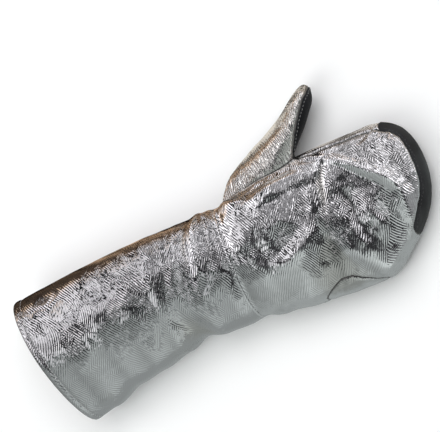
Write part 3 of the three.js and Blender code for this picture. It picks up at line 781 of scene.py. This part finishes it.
def girth_at(points):
    """How far round the mitt a point is from its crown, about in millimetres."""
    x = np.minimum(points[:, 0], GIRTH_END)
    little, thumb = eased(SECTIONS, LITTLE_EDGE, x), eased(SECTIONS, THUMB_EDGE, x)
    wide, crown = eased(SECTIONS, WIDEST, x), eased(SECTIONS, CROWN, x)
    half = (thumb - little) / 2
    upward = (points[:, 2] - wide) / np.maximum(crown - wide, wide)
    turn = np.arctan2((points[:, 1] - spine(x)) / half, upward)
    steps = np.linspace(0, np.pi, 181)
    lengths = np.hypot(np.cos(steps), 0.5 * np.sin(steps))
    arc = np.concatenate([[0], np.cumsum((lengths[1:] + lengths[:-1]) / 2 * np.diff(steps))])
    return np.sign(turn) * np.interp(np.abs(turn), steps, arc) * half


skin_uv = np.stack([skin[:, 0], girth_at(skin)], axis=1)
WALL = 1.7


def walled(points, normals, tris):
    """A panel given its thickness: outside, inside and the cut edge between them."""
    used, renamed = np.unique(tris, return_inverse=True)
    tris = renamed.reshape(-1, 3)
    points, normals = points[used], normals[used]
    count = len(used)
    inner = tris[:, ::-1] + count
    directed = tris[:, [0, 1, 1, 2, 2, 0]].reshape(-1, 2)
    key = np.sort(directed, axis=1)
    _, first, times = np.unique(key, axis=0, return_index=True, return_counts=True)
    rim = directed[first[times == 1]]
    rims = np.vstack([
        np.stack([rim[:, 1], rim[:, 0], rim[:, 0] + count], axis=1),
        np.stack([rim[:, 1], rim[:, 0] + count, rim[:, 1] + count], axis=1),
    ])
    inside = points - normals * WALL
    inside[:, 2] = np.maximum(inside[:, 2], LINING_FLOOR)
    material = np.repeat([0, 1, 0], [len(tris), len(inner), len(rims)])
    return np.vstack([points, inside]), np.vstack([tris, inner, rims]), material, used


def add_piece(name, points, faces, materials, uv, material_index=None, fields=None, in_cad=True):
    """Puts a piece into the scene: it rides on the mitt's one body."""
    mesh = bpy.data.meshes.new(name)
    faces = np.asarray(faces, np.int32)
    size = faces.shape[1]
    mesh.vertices.add(len(points))
    mesh.vertices.foreach_set("co", placed(points).astype(np.float32).ravel())
    mesh.loops.add(faces.size)
    mesh.loops.foreach_set("vertex_index", faces.ravel())
    mesh.polygons.add(len(faces))
    mesh.polygons.foreach_set("loop_start", np.arange(0, faces.size, size, dtype=np.int32))
    mesh.polygons.foreach_set("use_smooth", np.full(len(faces), True))
    for material in materials:
        mesh.materials.append(material)
    if material_index is not None:
        mesh.polygons.foreach_set("material_index", np.asarray(material_index, np.int32))
    layer = mesh.uv_layers.new(name="cloth")
    layer.data.foreach_set("uv", (uv * MM)[faces.ravel()].astype(np.float32).ravel())
    for field, values in (fields or {}).items():
        layer = mesh.attributes.new(field, "FLOAT", "POINT")
        layer.data.foreach_set("value", np.clip(values, -20, 20).astype(np.float32))
    mesh.update(calc_edges=True)
    mesh.validate()
    piece = bpy.data.objects.new(name, mesh)
    bpy.context.scene.collection.objects.link(piece)
    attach(piece, "root")
    if in_cad:
        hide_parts(name)


def add_panel(name, label, materials):
    """Cuts one panel out of the skin and puts it into the scene with its thickness."""
    points, faces, material_index, used = walled(skin, outwards, tris[panel == label])
    uv = np.tile(skin_uv[used], (2, 1))
    fields = {"from_seam": np.tile(seam_distance[used], 2), "fold": np.tile(folds[used], 2)}
    add_piece(name, points, faces, materials, uv, material_index, fields)


def shader_group(name, inputs, outputs):
    """A node group: its inputs have defaults, where None is a place, and its outputs are values."""
    group = bpy.data.node_groups.new(name, "ShaderNodeTree")
    for label, default in inputs.items():
        kind = "NodeSocketVector" if default is None else "NodeSocketFloat"
        made = group.interface.new_socket(label, in_out="INPUT", socket_type=kind)
        if default is not None:
            made.default_value = default
    for label in outputs:
        group.interface.new_socket(label, in_out="OUTPUT", socket_type="NodeSocketFloat")
    return group, group.nodes.new("NodeGroupInput").outputs, group.nodes.new("NodeGroupOutput").inputs


def bumped(tree, height, strength, depth):
    """A surface's normal, tilted by fine relief; its depth is in metres."""
    return node(tree, "Bump", Height=height, Strength=strength, Distance=depth)[0]


# Split leather: a short nap brushed in patches, with fine pores.
hide, taken, given = shader_group(
    "split_hide", {"Place": None, "Nap Size": 900.0, "Patch Size": 26.0}, ["Tone", "Height"],
)
nap = mottled(hide, taken["Place"], taken["Nap Size"], 5.0, Roughness=0.65)
patch = mottled(hide, taken["Place"], taken["Patch Size"], 3.0, Distortion=0.6)
tone = worked(hide, "MULTIPLY_ADD", nap, 0.5, ramp(hide, patch, 0.35, 0.68))
pores = node(hide, "TexVoronoi", Vector=taken["Place"], Scale=520.0)["Distance"]
fill(
    hide, given,
    Tone=worked(hide, "MULTIPLY", tone, 0.66),
    Height=worked(hide, "MULTIPLY_ADD", pores, 0.4, nap),
)

# Wear and painted light: rubbed patches beside the seams, painted shade in the seams, painted shade in
# the valleys and a painted highlight on the ridges.
wear_and_painted_light, taken, given = shader_group(
    "wear_and_painted_light", {"Place": None, "Reach": 3.0}, ["Rubbed", "Soot", "Sunk", "Raised"],
)
away = node(wear_and_painted_light, "Attribute", "from_seam")["Fac"]
spots = ramp(wear_and_painted_light, mottled(wear_and_painted_light, taken["Place"], 160.0, 4.0, Roughness=0.7), 0.42, 0.66)
near = ramp(wear_and_painted_light, away, 0.4, taken["Reach"], 1.0, 0.0)
# The fold attribute holds the creases' height. Along the cuff's wrist edge it holds a raised value that
# paints a highlight line there.
fold = node(wear_and_painted_light, "Attribute", "fold")["Fac"]
fold = worked(wear_and_painted_light, "MULTIPLY_ADD", spots, 0.5, fold)
fill(
    wear_and_painted_light, given,
    Rubbed=worked(wear_and_painted_light, "MULTIPLY", near, spots),
    # Painted shade in a thin line along the seams.
    Soot=ramp(wear_and_painted_light, away, 0.2, 1.1, 1.0, 0.0),
    # Painted shade in the creases' valleys and a painted highlight on their ridges.
    Sunk=ramp(wear_and_painted_light, fold, 0.0, -2.2),
    Raised=ramp(wear_and_painted_light, fold, 0.6, 2.6),
)

leather, tree, shader = new_material(
    "black_split_leather", Specular_IOR_Level=0.25, Sheen_Weight=0.15, Sheen_Roughness=0.4,
    Sheen_Tint=(0.5, 0.52, 0.56, 1),
)
place = node(tree, "TexCoord")["Object"]
grain = node(tree, "Group", hide, Place=place)
rubbed = node(tree, "Group", wear_and_painted_light, Place=place)["Rubbed"]
colour = blended(tree, grain["Tone"], (0.004, 0.004, 0.005), (0.016, 0.017, 0.020))
fill(
    tree, shader,
    Base_Color=blended(tree, rubbed, colour, (0.035, 0.035, 0.037)),
    Roughness=spread(tree, grain["Tone"], 0.92, 0.7),
    Normal=bumped(tree, grain["Height"], 0.55, 0.0006),
)

# The undyed flesh side, seen inside and at the cut edges.
flesh_side, tree, shader = new_material("leather_inside", Roughness=0.9, Specular_IOR_Level=0.2)
grain = node(tree, "Group", hide, Place=node(tree, "TexCoord")["Object"], Nap_Size=600.0)
fill(
    tree, shader,
    Base_Color=blended(tree, grain["Tone"], (0.035, 0.035, 0.038), (0.085, 0.085, 0.088)),
    Normal=bumped(tree, grain["Height"], 0.5, 0.0008),
)

add_panel("palm", PALM, [leather, flesh_side])

# Back of the hand
# Aluminized cloth: a bright metal film on ribbed cloth, creased by use round the
# thumb's crotch and the knuckles, and sewn to the side strips and the band.

# The film shows the ribs of the cloth under it as short dashes. They slant one way or
# the other in patches, like a fishbone, and the film has finer crinkles of its own.
film, taken, given = shader_group(
    "ribbed_film",
    {"Cloth": None, "Place": None, "Pitch": 1.88, "Wander": 3.6, "Crumple": 2.0},
    ["Height", "Worn"],
)
lumps = node(film, "TexNoise", Vector=taken["Place"], Scale=30.0, Detail=1.0)["Color"]
pull = moved(film, "SUBTRACT", lumps, (0.5, 0.5, 0.5))
pull = scaled(film, pull, worked(film, "MULTIPLY", taken["Wander"], 2.0))
pulled = moved(film, "ADD", scaled(film, taken["Cloth"], 1 / MM), pull)
wobble = worked(film, "MULTIPLY", mottled(film, taken["Place"], 240.0, 1.0), 3.0)
SLANTS = ((0.86, 0.50, 0.0), (0.82, -0.57, 0.0))
rib_pair = []
for slant in SLANTS:
    square_on = (-slant[1], slant[0], 0.0)
    across, along = (
        node(film, "VectorMath", "DOT_PRODUCT", _0=pulled, _1=way)["Value"] for way in (slant, square_on)
    )
    turns = worked(film, "DIVIDE", across, taken["Pitch"])
    ribs = worked(film, "SINE", worked(film, "MULTIPLY_ADD", turns, 2 * math.pi, wobble))
    dashes = node(film, "CombineXYZ", X=turns, Y=along)[0]
    dashes = mottled(film, moved(film, "MULTIPLY", dashes, (0.8, 0.22, 1.0)), 1.0, 1.0)
    rib_pair.append(worked(film, "MULTIPLY", ribs, ramp(film, dashes, 0.3, 0.55, 0.4)))
zones = mottled(film, moved(film, "MULTIPLY", pulled, (0.024, 0.009, 1.0)), 1.0, 1.0)
zones = ramp(film, zones, 0.44, 0.54)
ribs = node(film, "Mix", _0=zones, _2=rib_pair[0], _3=rib_pair[1])[0]
crinkle = mottled(film, taken["Place"], 420.0, 2.0, Roughness=0.6)
height = worked(film, "MULTIPLY_ADD", crinkle, 0.45, ribs)
soft = mottled(film, taken["Place"], 90.0, 1.0)
worn = mottled(film, taken["Place"], 22.0, 4.0, Roughness=0.7)
fill(
    film, given,
    Height=worked(film, "MULTIPLY_ADD", soft, taken["Crumple"], height),
    Worn=ramp(film, worn, 0.45, 0.75),
)


def aluminized(name, clean, rough, depth=0.000075, **ribs):
    """The film: its clean colour, its roughness where bright and where worn, and its ribs' depth."""
    made, tree, shader = new_material(name, Metallic=1.0)
    coordinates = node(tree, "TexCoord")
    place = coordinates["Object"]
    ribbed = node(tree, "Group", film, Cloth=coordinates["UV"], Place=place, **ribs)
    wear = node(tree, "Group", wear_and_painted_light, Place=place, Reach=6.0)
    colour = blended(tree, ribbed["Worn"], clean, (0.66, 0.66, 0.66))
    # Painted shade darkens the film in the creases' valleys, and a painted highlight brightens it on
    # their ridges.
    colour = blended(tree, wear["Sunk"], colour, (0.60, 0.59, 0.57))
    colour = blended(tree, wear["Raised"], colour, (0.97, 0.97, 0.98))
    gloss = spread(tree, ribbed["Worn"], *rough)
    fill(
        tree, shader,
        # Painted shade darkens the film along the seams.
        Base_Color=blended(tree, wear["Soot"], colour, (0.33, 0.32, 0.31)),
        Roughness=worked(tree, "MULTIPLY_ADD", wear["Rubbed"], 0.2, gloss),
        Normal=bumped(tree, ribbed["Height"], 1.0, depth),
    )
    return made


foil = aluminized("aluminized_hand", (0.87, 0.87, 0.88), (0.08, 0.17), Crumple=3.0)

# The backing of the cloth, undyed and plainly woven.
weave, taken, given = shader_group("plain_weave", {"Cloth": None}, ["Height", "Tone"])
threads = scaled(weave, taken["Cloth"], 4200.0)
lengthways, sideways, _ = node(weave, "SeparateXYZ", Vector=threads)
height = worked(weave, "MULTIPLY", worked(weave, "SINE", lengthways), worked(weave, "SINE", sideways))
fuzz = mottled(weave, threads, 0.6, 3.0)
fill(weave, given, Height=height, Tone=worked(weave, "MULTIPLY_ADD", height, 0.25, fuzz))

backing, tree, shader = new_material("woven_backing", Roughness=0.95, Specular_IOR_Level=0.15)
woven = node(tree, "Group", weave, Cloth=node(tree, "TexCoord")["UV"])
fill(
    tree, shader,
    Base_Color=blended(tree, woven["Tone"], (0.30, 0.27, 0.20), (0.46, 0.42, 0.33)),
    Normal=bumped(tree, woven["Height"], 0.6, 0.0003),
)

add_panel("hand_back", HAND_BACK, [foil, backing])

# Side strips
# Aluminized cloth along the index finger's side and the little finger's side, sewn
# between the back and the palm.
add_panel("index_gusset", INDEX_GUSSET, [foil, backing])
add_panel("ulnar_gusset", ULNAR_GUSSET, [foil, backing])

# Fingertip band
# A strip of smoother black leather round the fingertips, between the back and the
# palm, where the wear is hardest.
band_leather, tree, shader = new_material("smooth_black_leather", Specular_IOR_Level=0.45)
place = node(tree, "TexCoord")["Object"]
grain = node(tree, "Group", hide, Place=place, Nap_Size=620.0, Patch_Size=40.0)
fill(
    tree, shader,
    Base_Color=blended(tree, grain["Tone"], (0.008, 0.008, 0.009), (0.024, 0.025, 0.027)),
    Roughness=spread(tree, grain["Tone"], 0.62, 0.45),
    Normal=bumped(tree, grain["Height"], 0.3, 0.0004),
)
add_panel("fingertip_band", BAND, [band_leather, flesh_side])

# Back of the thumb
# Aluminized cloth, sewn to the leather front along both edges and to the hand's back
# from the wrist to the crotch.
# The thumb's film is the hand's cloth in a brighter, warmer clean colour: painted light.
thumb_foil = aluminized("aluminized_thumb", (0.94, 0.92, 0.88), (0.16, 0.28), 0.0002, Crumple=5.0)
add_panel("thumb_back", THUMB_BACK, [thumb_foil, backing])

# Welts
# Thin folded strips caught in the seams round the fingertips and round the thumb, so
# that the thread doesn't show.


def seam_line(first, second, keep):
    """The longest chain of seam points between two panels, among those kept."""
    low, high = min(first, second), max(first, second)
    chosen = seam_edges[(seam_pairs[:, 0] == low) & (seam_pairs[:, 1] == high)]
    chosen = chosen[keep(skin[chosen[:, 0]])]
    near = {}
    for a, b in chosen:
        near.setdefault(a, []).append(b)
        near.setdefault(b, []).append(a)
    best, seen = [], set()
    starts = sorted(near, key=lambda v: len(near[v]))
    for start in starts:
        if start in seen:
            continue
        chain = [start]
        seen.add(start)
        while True:
            ahead = [v for v in near[chain[-1]] if v not in seen]
            if not ahead:
                break
            chain.append(ahead[0])
            seen.add(ahead[0])
        if len(chain) > len(best):
            best = chain
    return np.array(best)


def rings_round(path, radii, aside, over, sides):
    """Rings of points round a path, with their radii."""
    turn = (np.arange(sides) * 2 * np.pi / sides)[None, :, None]
    ways = np.cos(turn) * aside[:, None] + np.sin(turn) * over[:, None]
    return (path[:, None] + radii[:, None, None] * ways).reshape(-1, 3)


WELT_RADIUS, WELT_SIDES = 0.95, 10


def tube(path, radius):
    """A round strip along a path, narrowed at its ends: points, faces and cloth places."""
    forward = unit(np.gradient(path, axis=0))
    aside = unit(np.cross(forward, (0, 0, 1.0)))
    swell = radius * (1 + 0.12 * noise_at(path, 4, 9))
    swell[[0, -1]] *= 0.3
    points = rings_round(path, swell, aside, np.cross(aside, forward), WELT_SIDES)
    girth = np.arange(WELT_SIDES) * 2 * np.pi / WELT_SIDES * radius
    along = np.repeat(np.arange(len(path)) * 1.0, WELT_SIDES)
    uv = np.stack([along, np.tile(girth, len(path))], axis=1)
    return points, quads_between(len(path), WELT_SIDES)[:, [0, 3, 2, 1]], uv


welt_cloth = aluminized("welt_strip", (0.93, 0.93, 0.94), (0.3, 0.45), Pitch=1.6, Wander=2.0)
for name, other, keep, share in (
    ("palm_welt", BAND, lambda p: p[:, 0] > 120, 0.7),
    ("thumb_welt", THUMB_BACK, lambda p: p[:, 1] > 40, 1.0),
):
    path = curve(skin[seam_line(PALM, other, keep)][::4], 1.0)
    points, faces, uv = tube(path, share * WELT_RADIUS)
    add_piece(name, points, faces, [welt_cloth], uv)

# Stitching of the hand
# Grey thread on the leather beside the welts, and black thread along the band's inner
# edge and along both edges of the little finger's side strip.
skin_tree = bvhtree.BVHTree.FromPolygons(skin.tolist(), tris.tolist())
# A stitch has this length and these sides. Its rings rise by the first list, so that its
# ends dive into the leather, and are as wide as the second says, both in radii.
STITCH_LENGTH, STITCH_SIDES = 2.5, 6
STITCH_RISE = np.array([-2.2, 0.6, 1.2, 0.6, -2.2])
STITCH_SWELL = np.array([0.45, 1, 1.1, 1, 0.45])


def stitched(name, rows, material, pitch=3.5, radius=0.3):
    """Short stitches along rows of points with normals, as one piece."""
    rings, sides = len(STITCH_RISE), STITCH_SIDES
    all_points = []
    for path, normals in rows:
        along = lengths_along(path)
        for start in np.arange(pitch / 2, along[-1] - STITCH_LENGTH, pitch):
            places = start + STITCH_LENGTH * np.linspace(0, 1, rings)
            up = unit(rows_at(places, along, normals))
            line = rows_at(places, along, path) + up * (0.45 * radius * STITCH_RISE)[:, None]
            aside = np.cross(unit(line[-1] - line[0]), up)
            all_points.append(rings_round(line, radius * STITCH_SWELL, aside, up, sides))
    starts = np.arange(len(all_points)) * rings * sides
    faces = (quads_between(rings, sides)[None] + starts[:, None, None]).reshape(-1, 4)
    points = np.vstack(all_points)
    add_piece(name, points, faces, [material], points[:, :2], in_cad=False)


def row_beside(first, second, wanted, offset, keep):
    """A row of points with normals, beside the seam of two panels, on the wanted one."""
    path = curve(skin[seam_line(first, second, keep)][::3], 1.2)
    even = np.ones(7) / 7
    evened = [np.convolve(np.pad(column, 3, "edge"), even, "valid") for column in path.T]
    path = np.stack(evened, axis=1)
    normals = np.array([skin_tree.find_nearest(p)[1] for p in path])
    aside = unit(np.cross(np.gradient(path, axis=0), normals))
    found = {way: [skin_tree.find_nearest(p) for p in path + aside * offset * way] for way in (1, -1)}
    hits = {way: sum(panel[f[2]] == wanted for f in found[way]) for way in found}
    row = found[max(hits, key=hits.get)]
    return np.array([f[0] for f in row]), np.array([f[1] for f in row])


twist, taken, given = shader_group("twisted_thread", {"Place": None}, ["Height", "Tone"])
strands = node(twist, "TexWave", Vector=taken["Place"], Scale=900.0, Distortion=3.0, Detail=2.0)["Fac"]
fill(twist, given, Height=strands, Tone=mottled(twist, taken["Place"], 1500.0, 3.0))


def thread(name, dark, light):
    """A twisted thread in two shades."""
    made, tree, shader = new_material(name, Roughness=0.7, Sheen_Weight=0.3)
    wound = node(tree, "Group", twist, Place=node(tree, "TexCoord")["Object"])
    fill(
        tree, shader,
        Base_Color=blended(tree, wound["Tone"], dark, light),
        Normal=bumped(tree, wound["Height"], 0.6, 0.0002),
    )
    return made


black_thread = thread("black_thread", (0.008, 0.008, 0.009), (0.03, 0.03, 0.032))
grey_thread = thread("grey_thread", (0.10, 0.10, 0.10), (0.3, 0.3, 0.29))
leather_rows = [
    row_beside(PALM, THUMB_BACK, PALM, 2.6, lambda p: p[:, 1] > 55),
    row_beside(PALM, BAND, PALM, 3.0, lambda p: p[:, 0] > 120),
]
stitched("leather_stitches", leather_rows, grey_thread)
band_row = row_beside(HAND_BACK, BAND, BAND, 2.4, lambda p: p[:, 0] > 120)
stitched("band_stitches", [band_row], black_thread)
cloth_rows = [
    row_beside(HAND_BACK, ULNAR_GUSSET, ULNAR_GUSSET, 0.5, lambda p: p[:, 0] > 14),
    row_beside(PALM, ULNAR_GUSSET, PALM, 3.0, lambda p: p[:, 0] > 12),
]
stitched("cloth_stitches", cloth_rows, black_thread)

# Cuff
# A wide gauntlet of the same aluminized cloth, one tube with a turned hem at its open
# end, lapped over the hand's panels at the wrist.
RIM_X, CUFF_END = -198, 6
RIM_SLANT, SLANT_FADES_AT = 0.246, -80
CUFF_STEP, CUFF_SIDES, CUFF_FLOOR = 1.4, 260, 0.2
HEM_LENGTH, HEM_RISE, HEM_PUCKER, HEM_STITCH_DEPTH = 7, 0.4, 0.35, 0.7
LAP_LENGTH, LAP_FALL, LAP_STITCH_DEPTH = 15, 1.95, 0.15  # where it thins out over the hand
CUFF_CREASES = [
    ([(-14, 50), (-20, 30), (-22, 10), (-24, -6), (-30, -18)],
     [4, 5, 5], [6, 7, 6], [2.4, 4.4, 4.0, 2.2, 0]),
    ([(-24, 50), (-29, 32), (-31, 12), (-30, 0)], [4], [5], [-1.8, -3.4, -2.8, 0]),
    # A knot of small folds over the wrist, on the thumb's side.
    ([(-16, 52), (-6, 46), (2, 38), (5, 30)], [3], [3], [1.0, 3.0, 2.4, 0.5]),
    ([(-8, 53), (1, 47), (6, 41)], [2.5], [2.5], [0.6, 2.6, 1.0]),
    ([(-12, 52), (-3, 45), (3, 38)], [2], [2], [-0.8, -2.4, -0.8]),
    ([(-36, 48), (-40, 26), (-44, 8), (-48, -6)], [5], [7], [1.6, 2.6, 1.8, 0]),
    ([(-4, 46), (-8, 24), (-7, 4), (-10, -14)], [5], [5], [-0.8, -1.6, -1.2, 0]),
    ([(-44, -62), (-54, -46), (-64, -32), (-74, -20)],
     [20, 18, 18], [16, 18, 18], [-4.5, -3.4, -1.4, 0]),
    ([(-30, -64), (-34, -40), (-30, -22)], [12], [12], [1.5, 1.6, 0]),
    ([(-96, 10), (-120, -6), (-146, -28), (-168, -52)], [26], [24], [0, 1.2, 1.6, 1.0]),
    ([(-190, 34), (-160, 18), (-128, 16), (-100, 26)], [12], [16], [0, -0.8, -0.8, 0]),
    ([(-92, -58), (-112, -44), (-134, -50), (-160, -64)], [14], [16], [0, 1.2, 1.2, 0]),
]
# How full the cuff's section is above and below its widest line: pinched at the rim.
CUFF_FULLNESS = [
    (-232, 1.75, 2.1), (-180, 1.85, 2.3), (-125, 2.35, 2.8), (-60, 2.55, 3.1), (10, 2.4, 3.2),
]
CUFF_LENGTH = CUFF_END - RIM_X
lengths = np.linspace(0, 1, int(CUFF_LENGTH / CUFF_STEP) + 1)
turns = np.linspace(0, 2 * np.pi, CUFF_SIDES + 1)[:-1]


def cuff_ring(x):
    """One section of the cuff; it starts under the middle and goes round by the thumb."""
    fine = np.radians(np.linspace(-90, 90, 181))
    full, low = eased(CUFF_FULLNESS, 1, x), eased(CUFF_FULLNESS, 2, x)
    wide, crown, middle = eased(SECTIONS, WIDEST, x), eased(SECTIONS, CROWN, x), (x, spine(x))
    by_thumb, by_little = (
        section_side((x, eased(SECTIONS, side, x)), middle, wide, crown, fine, 0.0, full, low)
        for side in (THUMB_EDGE, LITTLE_EDGE)
    )
    loop = np.vstack([by_thumb, by_little[::-1][1:-1], by_thumb[:1]])
    along = lengths_along(loop)
    places = turns / (2 * np.pi) * along[-1]
    ring = rows_at(places, along, loop)
    fade = np.clip((x - SLANT_FADES_AT) / (RIM_X - SLANT_FADES_AT), 0, 1)
    ring[:, 0] -= RIM_SLANT * fade * (ring[:, 1] - spine(x))
    return ring, places - along[-1] / 2


rings, girths = zip(*[cuff_ring(RIM_X + CUFF_LENGTH * s) for s in lengths])
cuff_points = np.array(rings).reshape(-1, 3)
cuff_uv = np.stack([cuff_points[:, 0], np.array(girths).ravel()], axis=1)
count, rows = len(turns), len(lengths)
cuff_quads = quads_between(rows, count)[:, ::-1]
cuff_tris = np.vstack([cuff_quads[:, [1, 2, 3]], cuff_quads[:, [0, 1, 3]]])
cuff_out = normals_of(cuff_points, cuff_tris)
from_rim = np.repeat(lengths * CUFF_LENGTH, count)
from_edge = CUFF_LENGTH - from_rim
from_hem = np.abs(from_rim - HEM_LENGTH)
upper = stepped(cuff_out[:, 2], -0.1, 0.5)
cuff_folds = crease_height(cuff_points, CUFF_CREASES) * upper
lift = cuff_folds.copy()
warp = np.stack([noise_at(cuff_points, 34, s) for s in (11, 12, 13)], axis=1) * 11
calm = 0.35 + 0.65 * stepped(from_rim, 4, 60)
by_thumb = 0.12 * stepped(cuff_points[:, 1], -30, 0)
lift += stepped(cuff_points[:, 2], *LEAVES_TABLE) * calm * (
    (0.12 + by_thumb) * crumple_at(cuff_points + warp, 50, 14)
    + (0.03 + by_thumb) * crumple_at(cuff_points + 0.5 * warp, 18, 15)
    + 0.4 * noise_at(cuff_points, 55, 16) + 0.06 * noise_at(cuff_points, 7, 17) - 0.3
)
# The hem's fold and stitches, the rounded rim, and the stitched lap at the wrist.
in_section = np.stack([cuff_points[:, 1], cuff_points[:, 2], 0 * from_rim], axis=1)
lift += (
    noise_at(in_section, 5, 18) * HEM_PUCKER * np.exp(-(from_hem / 6) ** 2)
    - HEM_STITCH_DEPTH * np.exp(-(from_hem / 1.3) ** 2)
    + HEM_RISE * (1 - stepped(from_rim, HEM_LENGTH - 1, HEM_LENGTH + 1))
)
lift -= 1 - stepped(from_rim, 0, 2)
lift -= (
    LAP_STITCH_DEPTH * np.exp(-((from_edge - 4) / 1.2) ** 2)
    + LAP_FALL * (1 - stepped(from_edge, 0, LAP_LENGTH))
)
cuff_points = cuff_points + cuff_out * lift[:, None]
cuff_points[:, 2] = np.maximum(cuff_points[:, 2], CUFF_FLOOR)
cuff_out = unit(relaxed(normals_of(cuff_points, cuff_tris), cuff_tris, 2))
inner = cuff_points - cuff_out * (WALL * (0.15 + 0.85 * stepped(from_edge, 0, 10)))[:, None]
inner[:, 2] = np.maximum(inner[:, 2], CUFF_FLOOR + WALL)
inner_quads = cuff_quads[:, ::-1] + len(cuff_points)
# The cut edges at the rim and at the wrist join the outside to the inside.
start = np.arange(count)
after = (start + 1) % count
shift = len(cuff_points)
last = (rows - 1) * count
rim_quads = np.stack([start, after, after + shift, start + shift], axis=1)
end_quads = np.stack([last + after, last + start, last + start + shift, last + after + shift], axis=1)
faces = np.vstack([cuff_quads, inner_quads, rim_quads, end_quads])
hem_inside = from_rim[cuff_quads].mean(1) < HEM_LENGTH
backed = [np.zeros(len(cuff_quads), int), np.where(hem_inside, 0, 1), np.zeros(2 * count, int)]
cuff_fields = {
    # Painted shade in a thin line along the rim's edge and along the hem's stitch row, with rubbed wear
    # near them and near the wrist edge.
    "from_seam": np.tile(np.minimum.reduce([from_rim * 0.7, from_edge + 2, from_hem + 0.8]), 2),
    # A raised fold value along the wrist edge paints a highlight line there.
    "fold": np.tile(cuff_folds + 3 * (1 - stepped(from_edge, 0.8, 2.4)), 2),
}
# The cuff's film is the hand's cloth in a darker clean colour: painted shade.
cuff_foil = aluminized("aluminized_cuff", (0.66, 0.66, 0.67), (0.05, 0.12), 0.000085)
add_piece(
    "cuff", np.vstack([cuff_points, inner]), faces, [cuff_foil, backing],
    np.tile(cuff_uv, (2, 1)), np.concatenate(backed), cuff_fields,
)

pale_thread = thread("pale_thread", (0.3, 0.3, 0.3), (0.5, 0.5, 0.49))
hem_station = int(round(HEM_LENGTH / CUFF_LENGTH * (rows - 1)))
ring = np.append(np.arange(count), 0) + hem_station * count
ring = ring[cuff_points[ring, 2] > 1.5]
hem_row = (cuff_points[ring], cuff_out[ring])
stitched("cuff_stitches", [hem_row], pale_thread, pitch=3.2, radius=0.22)
